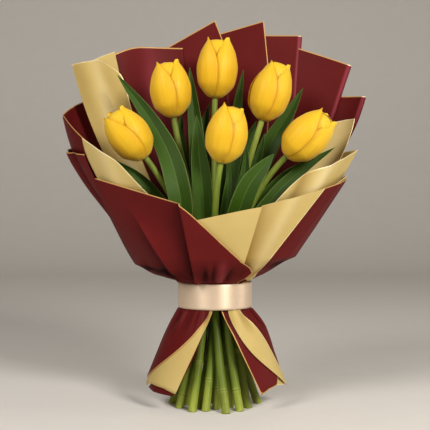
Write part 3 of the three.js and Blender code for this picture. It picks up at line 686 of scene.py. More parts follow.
def satin_material():
    """Champagne satin ribbon: fine threads along its length and a broad sheen."""
    material, tree, shader = new_material("champagne satin", 0.45, 0.5)
    threads = noise(tree, uv_coordinates(tree), 60, stretch=(0.05, 12, 1), detail=2)
    set_inputs(shader, {
        "Base Color": ramp(tree, threads, [(0.25, (218, 192, 162)), (0.75, (234, 212, 186))]),
        "Anisotropic": 0.75,
        "Anisotropic Rotation": 0.25,
        "Normal": bump(tree, threads, 0.15, 0.0002),
    })
    return material


MATERIALS = {
    # Paper: face colour, cloud tone, painted shade colour, painted sheen colour and gold line.
    "burgundy": paper("burgundy paper", (98, 25, 24), (88, 20, 19), (32, 4, 6), (158, 66, 78),
                      (206, 160, 96)),
    "gold": paper("gold paper", (202, 178, 114), (192, 167, 102), (138, 102, 36), (236, 218, 166),
                  (240, 220, 164)),
    "petal": petal_material(),
    "leaf": leaf_material(),
    "stem": stem_material(),
    "cut": plain_fibre_material("cut stem end", (206, 210, 150), (168, 178, 96), 0.7, 900),
    "pistil": plain_fibre_material("pistil", (170, 180, 80), (140, 150, 60), 0.6, 400),
    "pollen": plain_fibre_material("anther", (60, 44, 30), (36, 26, 20), 0.9, 900),
    "satin": satin_material(),
    "twine": plain_fibre_material("natural twine", (186, 158, 112), (150, 120, 76), 0.9, 700),
}


# Meshes

def grid_faces(rows, columns, start=0, turned=False):
    faces = []
    for row in range(rows - 1):
        for column in range(columns - 1):
            a = start + row * columns + column
            face = (a, a + 1, a + columns + 1, a + columns)
            faces.append(face[::-1] if turned else face)
    return faces


def put_in_scene(name, data):
    thing = bpy.data.objects.new(name, data)
    bpy.context.scene.collection.objects.link(thing)
    return thing


def store(mesh, label, values):
    """Values at the mesh's points, under a label that materials and trees read."""
    mesh.attributes.new(label, "FLOAT", "POINT").data.foreach_set("value", values)


def mesh_piece(name, points, faces, materials, slots=None, uv=None, layers=None):
    """An object from points in millimetres, with smooth faces."""
    mesh = bpy.data.meshes.new(name)
    mesh.from_pydata((np.asarray(points) * MM).tolist(), [], faces)
    for material in materials:
        mesh.materials.append(MATERIALS[material])
    mesh.polygons.foreach_set("use_smooth", [True] * len(faces))
    if slots is not None:
        mesh.polygons.foreach_set("material_index", slots)
    if uv is not None:
        layer = mesh.uv_layers.new(name="UVMap")
        corners = np.empty(len(mesh.loops), dtype=np.int32)
        mesh.loops.foreach_get("vertex_index", corners)
        layer.data.foreach_set("uv", np.asarray(uv)[corners].ravel())
    for label, values in (layers or {}).items():
        store(mesh, label, values)
    mesh.update()
    return put_in_scene(name, mesh)


def shell_piece(name, outer, inner, materials, uv, layers=None):
    """A thin closed body between two grids: the outer face, the inner face and the rim between them."""
    rows, columns = outer.shape[:2]
    count = rows * columns
    points = np.concatenate([outer.reshape(-1, 3), inner.reshape(-1, 3)])
    front = grid_faces(rows, columns)
    back = grid_faces(rows, columns, count, turned=True)
    at = np.arange(count).reshape(rows, columns)
    loop = [*at[0, :], *at[1:, -1], *at[-1, -2::-1], *at[-2:0:-1, 0]]
    rim = [(int(b), int(a), int(a) + count, int(b) + count) for a, b in zip(loop, loop[1:] + loop[:1])]
    slots = [0] * len(front) + [1] * len(back) + [min(2, len(materials) - 1)] * len(rim)
    flat_uv = np.tile(uv.reshape(-1, 2), (2, 1))
    flat_layers = {}
    for label, pair in (layers or {}).items():
        flat_layers[label] = np.concatenate([values.ravel() for values in pair])
    return mesh_piece(name, points, front + back + rim, materials, slots, flat_uv, flat_layers)


def grid_normals(grid):
    return unit_vectors(np.cross(np.gradient(grid, axis=1), np.gradient(grid, axis=0)))


def grid_uv(across, up):
    return np.stack(np.broadcast_arrays(across[None, :], up[:, None]), axis=-1)


def run_length(grid, axis):
    """How far along a grid's columns, or its rows, every point is from the first."""
    start = np.take(grid, [0], axis=axis)
    return np.cumsum(np.linalg.norm(np.diff(grid, axis=axis, prepend=start), axis=2), axis=axis)


def blade_piece(name, front, back, sides, shares, material):
    """A leaf or a petal between its two faces, turned so that both look outwards."""
    uv = grid_uv(sides * 0.5 + 0.5, shares)
    row = len(front) // 2
    corner = front[row, 0]
    if np.cross(front[row, 1] - corner, front[row + 1, 0] - corner) @ (corner - back[row, 0]) < 0:
        front, back, uv = front[:, ::-1], back[:, ::-1], uv[:, ::-1]
    return shell_piece(name, front, back, [material, material], uv)


def joined(name, pieces):
    """Several objects as one, under a new name."""
    first = pieces[0]
    if len(pieces) > 1:
        with bpy.context.temp_override(active_object=first, selected_editable_objects=pieces):
            bpy.ops.object.join()
    first.name = name
    first.data.name = name
    return first


# Geometry Nodes

def new_tree(name, inputs):
    """A tree that takes geometry, the inputs of the named kinds and a material, and gives geometry."""
    tree = bpy.data.node_groups.new(name, "GeometryNodeTree")
    for label, kind in {"Geometry": "Geometry", **inputs, "Material": "Material"}.items():
        tree.interface.new_socket(label, in_out="INPUT", socket_type=f"NodeSocket{kind}")
    tree.interface.new_socket("Geometry", in_out="OUTPUT", socket_type="NodeSocketGeometry")
    return tree, tree.nodes.new("NodeGroupInput").outputs


def finish_tree(tree, geometry, material):
    """Real geometry with its material, as every tree here ends."""
    real = result(tree, "GeometryNodeRealizeInstances", {"Geometry": geometry})
    painted = result(tree, "GeometryNodeSetMaterial", {"Geometry": real, "Material": material})
    add_node(tree, "NodeGroupOutput", {0: painted})
    return tree


def grown(piece, tree, values):
    """What the tree makes of the piece, as a plain mesh object under the piece's name."""
    modifier = piece.modifiers.new(tree.name, "NODES")
    modifier.node_group = tree
    for item in tree.interface.items_tree:
        if item.in_out == "INPUT" and item.name in values:
            modifier[item.identifier] = values[item.name]
    graph = bpy.context.evaluated_depsgraph_get()
    mesh = bpy.data.meshes.new_from_object(piece.evaluated_get(graph))
    name = piece.name
    bpy.data.objects.remove(piece)
    return put_in_scene(name, mesh)


def swept_section(tree, curve, sides, radius, scale=1.0):
    """A round section swept along a curve, its ends closed."""
    section = result(tree, "GeometryNodeCurvePrimitiveCircle", {"Resolution": sides, "Radius": radius})
    values = {"Curve": curve, "Profile Curve": section, "Scale": scale, "Fill Caps": True}
    return result(tree, "GeometryNodeCurveToMesh", values)


def sweep_tree():
    """A round section swept along a path of points that carry their radius; its foot is cut level."""
    tree, source = new_tree("swept stem", {"Sides": "Int"})
    radius = result(tree, "GeometryNodeInputNamedAttribute", {"Name": "radius"}, data_type="FLOAT")
    path = result(tree, "GeometryNodeMeshToCurve", {"Mesh": source["Geometry"]})
    swept = swept_section(tree, path, source["Sides"], 1.0, radius)
    place = separate(tree, result(tree, "GeometryNodeInputPosition"))
    level = compute(tree, "MAXIMUM", place["Z"], 0.0)
    target = result(tree, "ShaderNodeCombineXYZ", {"X": place["X"], "Y": place["Y"], "Z": level})
    cut = result(tree, "GeometryNodeSetPosition", {"Geometry": swept, "Position": target})
    return finish_tree(tree, cut, source["Material"])


def whorl_tree():
    """Copies of a part set evenly round an axis, each strayed a little in turn, lean and size."""
    inputs = {"Count": "Int", "Start": "Float", "Lean": "Float", "Stray": "Float", "Seed": "Int"}
    tree, source = new_tree("whorl", inputs)
    step = compute(tree, "DIVIDE", 2 * pi, source["Count"])
    index = result(tree, "GeometryNodeInputIndex")
    turned = compute(tree, "MULTIPLY_ADD", index, step, source["Start"])
    strays = []
    for salt in (0.0, 11.0, 23.0):
        seed = compute(tree, "ADD", source["Seed"], salt)
        draw = add_node(tree, "FunctionNodeRandomValue", {2: -1.0, 3: 1.0, "Seed": seed})
        strays.append(compute(tree, "MULTIPLY", draw.outputs[1], source["Stray"]))
    spin = compute(tree, "ADD", turned, strays[0])
    lean = compute(tree, "ADD", source["Lean"], strays[1])
    copies = result(tree, "GeometryNodeInstanceOnPoints", {
        "Points": result(tree, "GeometryNodeMeshLine", {"Count": source["Count"], "Offset": (0, 0, 0)}),
        "Instance": source["Geometry"],
        "Rotation": result(tree, "ShaderNodeCombineXYZ", {"X": lean, "Z": spin}),
        "Scale": compute(tree, "ADD", strays[2], 1.0),
    })
    return finish_tree(tree, copies, source["Material"])


def winding_tree():
    """A cord wound in close turns up a straight core."""
    inputs = {"Turns": "Float", "Core": "Float", "Thickness": "Float", "Rise": "Float", "Foot": "Vector"}
    tree, source = new_tree("winding", inputs)
    coil = result(tree, "GeometryNodeCurveSpiral", {
        "Resolution": 60,
        "Rotations": source["Turns"],
        "Start Radius": source["Core"],
        "End Radius": source["Core"],
        "Height": source["Rise"],
    })
    swept = swept_section(tree, coil, TWINE_SIDES, source["Thickness"])
    placed = result(tree, "GeometryNodeTransform", {"Geometry": swept, "Translation": source["Foot"]})
    return finish_tree(tree, placed, source["Material"])


SWEEP = sweep_tree()
WHORL = whorl_tree()
WINDING = winding_tree()


# The wrap's surface

def smooth_slopes(xs, ys):
    rises = np.diff(ys) / np.diff(xs)
    slopes = [rises[0]]
    for low, high in zip(rises[:-1], rises[1:]):
        slopes.append(0 if low * high <= 0 else 2 * low * high / (low + high))
    slopes.append(rises[-1])
    return np.array(slopes)


def smooth_curve(xs, ys):
    """A curve through the points that never overshoots them."""
    xs = np.array(xs, dtype=float)
    ys = np.array(ys, dtype=float)
    slopes = smooth_slopes(xs, ys)

    def curve(values):
        inside = np.clip(values, xs[0], xs[-1])
        i = np.clip(np.searchsorted(xs, inside) - 1, 0, len(xs) - 2)
        width = xs[i + 1] - xs[i]
        t = (inside - xs[i]) / width
        start = (1 + 2 * t) * (1 - t) ** 2 * ys[i] + t * t * (3 - 2 * t) * ys[i + 1]
        return start + width * (t * (1 - t) ** 2 * slopes[i] - t * t * (1 - t) * slopes[i + 1])
    return curve


def funnel_reach(column):
    """One reach of the funnel over the height, creased at the waist and at its shoulder."""
    skirt = [row for row in FUNNEL if row[0] <= WAIST_BOTTOM]
    neck = [row for row in FUNNEL if WAIST_TOP <= row[0] <= STRAIGHT_TOP]
    flare = [row for row in FUNNEL if row[0] >= STRAIGHT_TOP]
    below = smooth_curve([row[0] for row in skirt], [row[column] for row in skirt])
    above = smooth_curve([row[0] for row in flare], [row[column] for row in flare])

    def reach(z):
        straight = np.interp(z, [row[0] for row in neck], [row[column] for row in neck])
        return np.where(z < WAIST_TOP, below(z), np.where(z < STRAIGHT_TOP, straight, above(z)))
    return reach


REACHES = [funnel_reach(column) for column in range(1, 6)]


def wrap_point(angle, z, layer):
    """Points on a layer of the wrap, at angles round it and heights."""
    left, right, front, back, depth = [reach(z) for reach in REACHES]
    sine = np.sin(np.radians(angle))
    cosine = np.cos(np.radians(angle))
    sideways = left + (right - left) * (1 + sine) / 2
    forward = back + (front - back) * (1 + cosine) / 2
    share = 1 - depth * layer / INNERMOST_LAYER
    return np.stack([sideways * sine * share, -forward * cosine * share, z], axis=-1)


def bend(start, middle, end, t):
    pull = 2 * middle - (start + end) / 2
    return (1 - t) ** 2 * start + 2 * t * (1 - t) * pull + t * t * end


def rib_stations(ribs, stations):
    """Angles and heights of ribs at stations: 0 at the hem, 1 and 2 at the waist, 3 at the mouth."""
    mouth_angle, mouth_height, upper, waist, lower, hem_angle, hem_height = ribs.T
    rows = []
    for station in stations:
        if station <= 1:
            angle = bend(hem_angle, lower, waist, station)
            height = hem_height + (WAIST_BOTTOM - hem_height) * station
        elif station <= 2:
            angle = waist
            height = np.full_like(waist, WAIST_BOTTOM + (WAIST_TOP - WAIST_BOTTOM) * (station - 1))
        else:
            t = station - 2
            angle = bend(waist, upper, mouth_angle, t)
            height = WAIST_TOP + (mouth_height - WAIST_TOP) * t
        rows.append((angle, height))
    return np.array([row[0] for row in rows]), np.array([row[1] for row in rows])


def gathers(angle, z):
    """The folds that all layers share, where the ribbon draws the paper together."""
    above = smoothstep(*GATHER_ABOVE_RISE, z) * (1 - smoothstep(*GATHER_ABOVE_FADE, z))
    below = smoothstep(*GATHER_BELOW_RISE, z) * (1 - smoothstep(*GATHER_BELOW_FADE, z))
    turned = np.radians(angle)
    folds = sum(height * np.sin(count * turned + start) for count, height, start in GATHERS)
    return GATHER_ABOVE * folds * above + GATHER_BELOW * folds * below


def gather_shade(relief):
    """How much painted shade deepens the paper's colour where the gathers sink."""
    return np.clip(-0.5 * relief, 0, 0.7)


def pleat_side(distance, height):
    """From -1 to 1 across the edge of a pleat, 1 where it stands out."""
    return np.tanh(distance / PLEAT_EDGE) * (1 if height < 0 else -1)


def fold_relief(kind, distance, height, width):
    """How far a fold stands out at a distance across it. A pleat stands out on one side of its edge."""
    if kind == "pleat":
        side = pleat_side(distance, height)
        return abs(height) * (0.55 * side + 0.45) * np.exp(-np.abs(distance) / width)
    return height * bell(distance, width)


def fold_shade(kind, distance, height, width):
    """How much painted shade deepens the paper's colour in a fold, from 0 to 1."""
    if kind == "pleat":
        side = pleat_side(distance, height)
        return (0.5 - 0.5 * side) * np.exp(-np.abs(distance) / (0.8 * width))
    if kind == "wave":
        return np.clip(-height / 3, 0, 0.9) * bell(distance, width)
    return np.zeros_like(distance)


def fold_painted_sheen(kind, distance, height, width):
    """How much painted sheen lightens a fold, from 0 to 1."""
    if kind == "fold":
        return 0.8 * bell(distance, 0.4 * width)
    if kind == "wave":
        return np.clip(height / 3, 0, 0.8) * bell(distance, width)
    return np.zeros_like(distance)


def pleat_shift(distance):
    """How far the paper slides back over itself at a distance across a pleat."""
    return -PLEAT_LAP * distance / PLEAT_LAP_WIDTH * bell(distance, PLEAT_LAP_WIDTH)


def straightened(fine, angle, z, layer):
    """Angles that keep every rib above the waist straight as seen from the front."""
    start = wrap_point(fine[:, 3], np.full(len(fine), float(WAIST_TOP)), layer)[:, 0]
    end = wrap_point(fine[:, 0], fine[:, 1], layer)[:, 0]
    share = (z - WAIST_TOP) / (fine[:, 1] - WAIST_TOP)
    left, right, _, _, depth = [reach(z) for reach in REACHES]
    target = (start + (end - start) * share) / (1 - depth * layer / INNERMOST_LAYER)
    sine = np.sin(np.radians(angle))
    for _ in range(STRAIGHTENING_PASSES):
        sine = np.clip(target / (left + (right - left) * (1 + sine) / 2), -STEEPEST_SINE, STEEPEST_SINE)
    return np.where(share > 0, np.degrees(np.arcsin(sine)), angle)


def flattened(grid, columns, facets, free):
    """The grid with its paper stretched flat between the facets' ribs, where it is free of the waist."""
    for first, last in zip(facets[:-1], facets[1:]):
        i, j = [int(np.argmin(np.abs(columns - place))) for place in (first, last)]
        part = grid[:, i:j + 1]
        share = run_length(part, 1)
        share = (share / np.maximum(share[:, -1:], 1e-9))[..., None]
        chord = part[:, :1] * (1 - share) + part[:, -1:] * share
        grid[:, i:j + 1] = part + (chord - part) * FACET_FLATNESS * free[:, None, None]
    return grid


def outward_normals(grid):
    """Directions square to the grid, on its side away from the middle of the bunch."""
    normals = grid_normals(grid)
    return normals * np.sign(np.sum(normals * grid * [1, 1, 0]))


def sheet_columns(ribs, pleats):
    """Places along the ribs, close enough for a smooth sheet and closer still at its pleats."""
    columns = [0.0]
    for i in range(1, len(ribs)):
        pair = ribs[i - 1:i + 1]
        mouth = wrap_point(pair[:, 0], pair[:, 1], 0)
        hem = wrap_point(pair[:, 5], pair[:, 6], 0)
        gap = max(np.linalg.norm(mouth[1] - mouth[0]), np.linalg.norm(hem[1] - hem[0]))
        steps = max(2, int(np.ceil(gap / PAPER_STEP)))
        columns.extend(i - 1 + step / steps for step in range(1, steps + 1))
    for place in pleats:
        columns.extend(place + offset for offset in np.linspace(-PLEAT_REACH, PLEAT_REACH, PLEAT_COLUMNS))
    columns = np.unique(np.round(columns, 4))
    return columns[(columns >= 0) & (columns <= len(ribs) - 1)]


def ribs_at(ribs, columns, curved=False):
    """Ribs in between the given ones, along straight lines or a smooth curve."""
    places = np.arange(len(ribs))
    if curved:
        return np.stack([smooth_curve(places, values)(columns) for values in ribs.T], axis=1)
    return np.stack([np.interp(columns, places, values) for values in ribs.T], axis=1)


def edge_distance(grid, trim):
    """Distance from every point of a sheet to the nearest of its trimmed edges."""
    edges = {"mouth": grid[-1], "hem": grid[0], "first": grid[:, 0], "last": grid[:, -1]}
    nearest = np.full(grid.shape[:2], FAR_FROM_EDGE)
    for name in trim:
        line = edges[name]
        for start, end in zip(line[:-1], line[1:]):
            along = end - start
            share = np.clip(((grid - start) @ along) / max(along @ along, 1e-9), 0, 1)
            gap = np.linalg.norm(grid - start - share[..., None] * along, axis=-1)
            nearest = np.minimum(nearest, gap)
    return nearest


def distance_from(place, columns, length):
    """How far every point of a sheet is from a place among its ribs."""
    start = np.array([np.interp(place, columns, row) for row in length])
    return length - start[:, None]


def sheet_grid(sheet, ribs, columns, stations, free):
    """A sheet's surface before it is folded, with the angles and the heights of its points."""
    fine = ribs_at(ribs, columns, sheet.get("curved", False))
    angle, z = rib_stations(fine, stations)
    turn = (fine[:, 3] - fine[0, 3]) / (fine[-1, 3] - fine[0, 3])
    layer = sheet["layer"] + sheet.get("slant", 0) * turn
    if "straight" in sheet:
        share = np.clip(columns - sheet["straight"] + 1, 0, 1)
        angle = angle + (straightened(fine, angle, z, layer) - angle) * share
    grid = wrap_point(angle, z, np.broadcast_to(layer, z.shape))
    grid = flattened(grid, columns, sheet.get("facets", ()), free)
    grid = flattened(grid, columns, sheet.get("mouth_facet", ()), smoothstep(*MOUTH_STATIONS, stations))
    return grid, angle, z


def folded(sheet, columns, length, z, relief):
    """Relief, shift along the sheet, painted shade and painted sheen, with the folds and dents added to the
    gathers.
    """
    shift = np.zeros_like(relief)
    shade = gather_shade(relief)
    painted_sheen = np.zeros_like(relief)
    # Painted shade in folds is weaker higher up.
    paler = 1.05 - 0.45 * smoothstep(*FOLD_SHADE_HEIGHTS, z)
    for place, height, width, kind, reach in sheet["folds"]:
        distance = distance_from(place, columns, length)
        end = 1 - smoothstep(FOLD_FADE_START * reach, reach, z - WAIST_TOP)
        fade = smoothstep(*FOLD_RISE, z) * end
        relief = relief + fade * fold_relief(kind, distance, height, width)
        shade = shade + fade * fold_shade(kind, distance, height, width) * paler
        painted_sheen = painted_sheen + fade * fold_painted_sheen(kind, distance, height, width)
        if kind == "pleat":
            shift = shift + fade * pleat_shift(distance)
    for place, level, wide, tall, height in sheet.get("dents", ()):
        distance = distance_from(place, columns, length)
        dent = np.exp(-((distance / wide) ** 2) - ((z - level) / tall) ** 2)
        relief = relief + height * dent
        # Short dents also carry painted shade.
        shade = shade + (0.9 * dent if tall < SHADED_DENT else 0)
    return relief, shift, shade, painted_sheen


def sheet_surface(sheet):
    """The middle surface of a sheet as a grid from the hem up, and the painted shade and painted sheen on
    its two faces.
    """
    ribs = np.array(sheet["ribs"], dtype=float)
    columns = sheet_columns(ribs, [fold[0] for fold in sheet["folds"] if fold[3] == "pleat"])
    skirt = np.linspace(0, 1, SKIRT_ROWS) if ribs[:, 6].min() < SKIRT_HEM else np.array([0, 1.0])
    flare = 2 + np.sort(np.append(np.linspace(0, 1, FLARE_ROWS) ** FLARE_CROWDING, RIM_ROWS))
    stations = np.concatenate([skirt, [1.5], flare])
    free = smoothstep(*FREE_STATIONS, stations)
    grid, angle, z = sheet_grid(sheet, ribs, columns, stations, free)
    length = run_length(grid, 1)
    relief, shift, shade, painted_sheen = folded(sheet, columns, length, z, gathers(angle, z))
    if sheet.get("rolled"):
        gap = length[:, -1:] - length
        relief = relief + ROLL_DEPTH * np.clip(1 - gap / ROLL_WIDTH, 0, 1) ** 2 * free[:, None]
        # A painted sheen along the rolled edge, higher up only.
        edge = bell(gap - 0.45 * ROLL_WIDTH, 0.3 * ROLL_WIDTH)
        painted_sheen = painted_sheen + edge * smoothstep(*ROLL_PAINTED_SHEEN_HEIGHTS, z)
    # Painted shade on the inner face of inner layers, darker towards the bottom of the bunch.
    dusk = 1 - smoothstep(*DEPTH_SHADE_HEIGHTS[sheet["faces"][1]], z)
    depth = DEPTH_SHADE * np.clip((sheet["layer"] - 2) / 3, 0, 1) * dusk
    shade = np.clip(shade, 0, 1)
    painted_sheen = np.clip(painted_sheen, 0, 1)
    layers = {"shade": (shade, np.maximum(shade, depth)), "painted_sheen": (painted_sheen, painted_sheen)}
    across = unit_vectors(np.gradient(grid, axis=1))
    return grid + outward_normals(grid) * relief[..., None] + across * shift[..., None], layers


def paper_shell(name, grid, layers, trim, trim_width, faces):
    """Thin paper on a grid, with its outward face, its inward face, its rim and its trimmed edges."""
    outward = outward_normals(grid)
    middle = tuple(size // 2 for size in grid.shape[:2])
    across = grid[middle[0], middle[1] + 1] - grid[middle]
    rise = grid[middle[0] + 1, middle[1]] - grid[middle]
    if np.cross(across, rise) @ outward[middle] < 0:
        grid, outward = grid[:, ::-1], outward[:, ::-1]
        layers = {label: [values[:, ::-1] for values in pair] for label, pair in layers.items()}
        trim = [{"first": "last", "last": "first"}.get(side, side) for side in trim]
    uv = np.stack([run_length(grid, 1), run_length(grid, 0)], axis=-1) * MM
    half = outward * PAPER_THICKNESS / 2
    edge = edge_distance(grid, trim) / trim_width
    layers = {**layers, "edge": (edge, edge)}
    return shell_piece(name, grid + half, grid - half, faces, uv, layers)


def paper_sheet(sheet):
    name = sheet["name"]
    grid, layers = sheet_surface(sheet)
    rim = sheet["faces"][1 if sheet["layer"] >= FAN_LAYER else 0]
    faces = [*sheet["faces"], rim]
    parts = [paper_shell(name, grid, layers, sheet["trim"], sheet.get("trim_width", 1), faces)]
    for number, part in enumerate(PARTS.get(name, [])):
        parts.append(sheet_part(f"{name}_part_{number}", part))
    return joined(f"{name}_paper", parts)


def sheet_part(name, part):
    """A part of a sheet between its upper and its lower edge."""
    faces, trim, rows = part
    ribs = np.array(rows, dtype=float)
    columns = np.linspace(0, len(ribs) - 1, PART_COLUMNS * len(ribs))
    upper, top, middle, lower, foot, layer = ribs_at(ribs, columns).T
    shares = np.linspace(0, 1, SKIRT_ROWS)[:, None]
    angle = bend(lower, middle, upper, shares)
    z = foot + (top - foot) * shares
    grid = wrap_point(angle, z, np.broadcast_to(layer, z.shape))
    relief = gathers(angle, z)
    grid = grid + outward_normals(grid) * relief[..., None]
    # Painted shade where the gathers sink.
    layers = {"shade": (gather_shade(relief), gather_shade(relief))}
    return paper_shell(name, grid, layers, trim, 1, [*faces, faces[0]])


# The stems

def fan_share(z):
    """The share of the way from the binding to the foot, sideways, at a height below the binding."""
    drop = (BINDING_HEIGHT - z) / BINDING_HEIGHT
    return (sqrt(1 + STEM_FAN * drop * drop) - 1) / (sqrt(1 + STEM_FAN) - 1)


def binding_point(stem):
    return around(stem["angle"], BINDING_RINGS[stem["ring"]], BINDING_HEIGHT)


def bloom_axis(bloom):
    axis = np.array(bloom[1], dtype=float) - np.array(bloom[0])
    return axis / np.linalg.norm(axis)


def catmull_rom(points, shares):
    """The centripetal curve through the points, as places and directions along it."""
    points = np.array(points, dtype=float)
    ends = [2 * points[0] - points[1], *points, 2 * points[-1] - points[-2]]
    count = len(points) - 1

    def place(share):
        at = min(share * count, count - 1e-6)
        i = int(at)
        t = at - i
        p0, p1, p2, p3 = ends[i:i + 4]
        spans = [max(np.linalg.norm(b - a) ** 0.5, 1e-4) for a, b in ((p0, p1), (p1, p2), (p2, p3))]
        chord = (p2 - p1) / spans[1]
        first = ((p1 - p0) / spans[0] - (p2 - p0) / (spans[0] + spans[1]) + chord) * spans[1]
        second = (chord - (p3 - p1) / (spans[1] + spans[2]) + (p3 - p2) / spans[2]) * spans[1]
        cubic = 2 * (p1 - p2) + first + second
        square = 3 * (p2 - p1) - 2 * first - second
        return p1 + first * t + square * t * t + cubic * t ** 3

    places = np.array([place(share) for share in shares])
    directions = np.array([place(min(share + 0.004, 1)) - place(max(share - 0.004, 0)) for share in shares])
    return places, directions / np.linalg.norm(directions, axis=1, keepdims=True)


def stem_path(stem):
    """The stem's centre line from just under its foot to its top."""
    held = binding_point(stem)
    foot = np.array([*stem["foot"], 0.0])
    below = []
    for z in np.linspace(0, BINDING_HEIGHT, STEM_ROWS_BELOW + 1)[:-1]:
        share = fan_share(z)
        below.append([*(held + (foot - held) * share)[:2], z])
    start = np.array(below[0]) - (np.array(below[1]) - np.array(below[0])) * 0.3
    if "bloom" in stem:
        neck = np.array(stem["bloom"][0], dtype=float)
        axis = bloom_axis(stem["bloom"])
        reach = np.linalg.norm(neck - held)
        points = [held, held + [0, 0, reach * STEM_PULL],
                  neck - axis * reach * NECK_PULL, neck - axis * BLOOM_SEAT]
        weights = [1, 3, 3, 1]
        above = [sum(w * (1 - t) ** (3 - k) * t ** k * p for k, (w, p) in enumerate(zip(weights, points)))
                 for t in np.linspace(0, 1, STEM_ROWS_ABOVE)]
    else:
        top = held * [1.05, 1.05, 1] + [0, 0, LEAF_STEM_TOP - BINDING_HEIGHT]
        above = [held + (top - held) * t for t in np.linspace(0, 1, 8)]
    return np.array([start, *below, *above])


def stem_radii(path, joint):
    """Radii along a stem, which thins upwards and swells a little at its joint."""
    heights = [0, BINDING_HEIGHT, path[-1, 2]]
    radii = np.interp(path[:, 2], heights, [STEM_RADIUS_FOOT, STEM_RADIUS_BINDING, STEM_RADIUS_NECK])
    return radii + JOINT_SWELL * bell(joint, JOINT_LENGTH)


def stem_tube(stem):
    path = stem_path(stem)
    mesh = bpy.data.meshes.new(stem["name"])
    mesh.from_pydata((path * MM).tolist(), [(i, i + 1) for i in range(len(path) - 1)], [])
    joint = path[:, 2] - JOINT_LOWEST - STEMS.index(stem) * JOINT_STEP % JOINT_SPAN
    store(mesh, "radius", stem_radii(path, joint) * MM)
    store(mesh, "joint", joint)
    piece = put_in_scene(stem["name"], mesh)
    tube = grown(piece, SWEEP, {"Sides": STEM_SIDES, "Material": MATERIALS["stem"]})
    tube.data.materials.append(MATERIALS["cut"])
    for face in tube.data.polygons:
        face.use_smooth = len(face.vertices) == 4
        if len(face.vertices) > 4 and face.center.z < 0.01:
            face.material_index = 1
    return tube


# The leaves

def leaf_half_width(share, width):
    """Narrow at the root, widest past the middle, and drawn out to a fine tip."""
    swell = sin(pi * share ** 0.85) ** 0.8
    root = LEAF_ROOT_WIDTH / 2 * max(0, 1 - share * 2.5)
    return max(width / 2 * swell, root, 0.25)


def leaf_blade(name, leaf, stem, seed):
    """A lance-shaped blade folded along its midrib, whose face looks at the front of the bunch."""
    width, points = leaf
    root = binding_point(stem) * [1.04, 1.04, 0] + [0, 0, LEAF_ROOT_HEIGHT]
    shares = np.linspace(0, 1, LEAF_ROWS * len(points)) ** 0.95
    centres, along = catmull_rom([root, *points[::-1]], shares)
    sides = np.linspace(-1, 1, LEAF_COLUMNS + 1)
    rows = []
    for share, centre, direction in zip(shares, centres, along):
        facing = np.array([0, -1, 0]) + direction * direction[1]
        facing /= np.linalg.norm(facing)
        across = np.cross(direction, facing)
        half = leaf_half_width(share, width)
        cup = np.abs(sides) ** 1.25 * half * LEAF_FOLD
        wave = LEAF_WAVE * sin(share * LEAF_WAVES + seed) * sides * np.abs(sides) * min(half / 6, 1)
        crest = LEAF_CREST * bell(sides, LEAF_CREST_WIDTH)
        rows.append(centre + across * (sides * half)[:, None] + facing * (cup + wave - crest)[:, None])
    grid = np.array(rows)
    normals = grid_normals(grid)
    normals *= -np.sign(normals[..., 1:2].mean())
    thickness = 0.3 + 0.3 * (1 - np.abs(sides))[None, :, None]
    half = normals * thickness / 2
    return blade_piece(name, grid + half, grid - half, sides, shares, "leaf")


def stem_piece(stem):
    parts = [stem_tube(stem)]
    for number, leaf in enumerate(stem.get("leaves", [])):
        seed = STEMS.index(stem) + number * 5
        parts.append(leaf_blade(f"{stem['name']}_leaf_{number}", leaf, stem, seed))
    return joined(f"{stem['name']}_grown", parts)


# The blooms

def petal_grid(outline, radius, overlap, crown, seed):
    """A cupped petal at the front of a bloom that stands on its root, as middle surface and sides."""
    heights, radii, spans = np.array(outline).T
    shares = np.linspace(0, 1, PETAL_ROWS)
    spread = np.linspace(0, 1, len(outline)) ** 1.1
    height = smooth_curve(spread, heights)(shares)
    reach = smooth_curve(heights, radii)(height) * radius
    span = smooth_curve(heights, spans)(height)
    sides = np.linspace(-1, 1, PETAL_COLUMNS)
    grid = []
    for level, out, half, share in zip(height, reach, span, shares):
        tip = smoothstep(0.82, 1.0, share)
        groove = PETAL_GROOVE * bell(sides, PETAL_GROOVE_WIDTH) * smoothstep(0.1, 0.4, share) * (1 - tip)
        ripple = PETAL_RIPPLE * sin(share * 9 + seed) * sides ** 3
        lap = overlap * sides * smoothstep(0.05, 0.3, share)
        far = out - crown * sides ** 2 * (1 - 0.4 * tip) - groove + ripple + lap + 0.7 * tip
        angles = np.radians(sides * half)
        up = np.full(PETAL_COLUMNS, level * BLOOM_HEIGHT)
        grid.append(np.stack([far * np.sin(angles), -far * np.cos(angles), up], axis=1))
    return np.array(grid), sides, shares


def petal_piece(name, outline, radius, overlap, crown, seed):
    grid, sides, shares = petal_grid(outline, radius, overlap, crown, seed)
    normals = grid_normals(grid)
    normals *= -np.sign(normals[PETAL_ROWS // 2, PETAL_COLUMNS // 2, 1])
    thickness = (PETAL_EDGE + PETAL_SWELL * (1 - sides ** 2))[None, :, None]
    thickness = thickness * (1 - 0.5 * smoothstep(0.8, 1, shares))[:, None, None]
    return blade_piece(name, grid, grid - normals * thickness, sides, shares, "petal")


def lathe_piece(name, profile, sides, material):
    """A round body from radii and heights, closed at its ends."""
    points = [around(360 * side / sides, radius, z) for radius, z in profile for side in range(sides)]
    faces = []
    for ring in range(len(profile) - 1):
        for side in range(sides):
            a = ring * sides + side
            b = ring * sides + (side + 1) % sides
            faces.append((a, b, b + sides, a + sides))
    faces.append(tuple(range(sides))[::-1])
    last = (len(profile) - 1) * sides
    faces.append(tuple(range(last, last + sides)))
    uv = [(0.5, 0.5)] * len(points)
    return mesh_piece(name, points, faces, [material], uv=uv)


def whorl(part, count, stray, seed, material, **turns):
    """Copies of a part set round an axis."""
    values = {"Count": count, "Stray": stray, "Seed": seed, "Material": MATERIALS[material], **turns}
    return grown(part, WHORL, values)


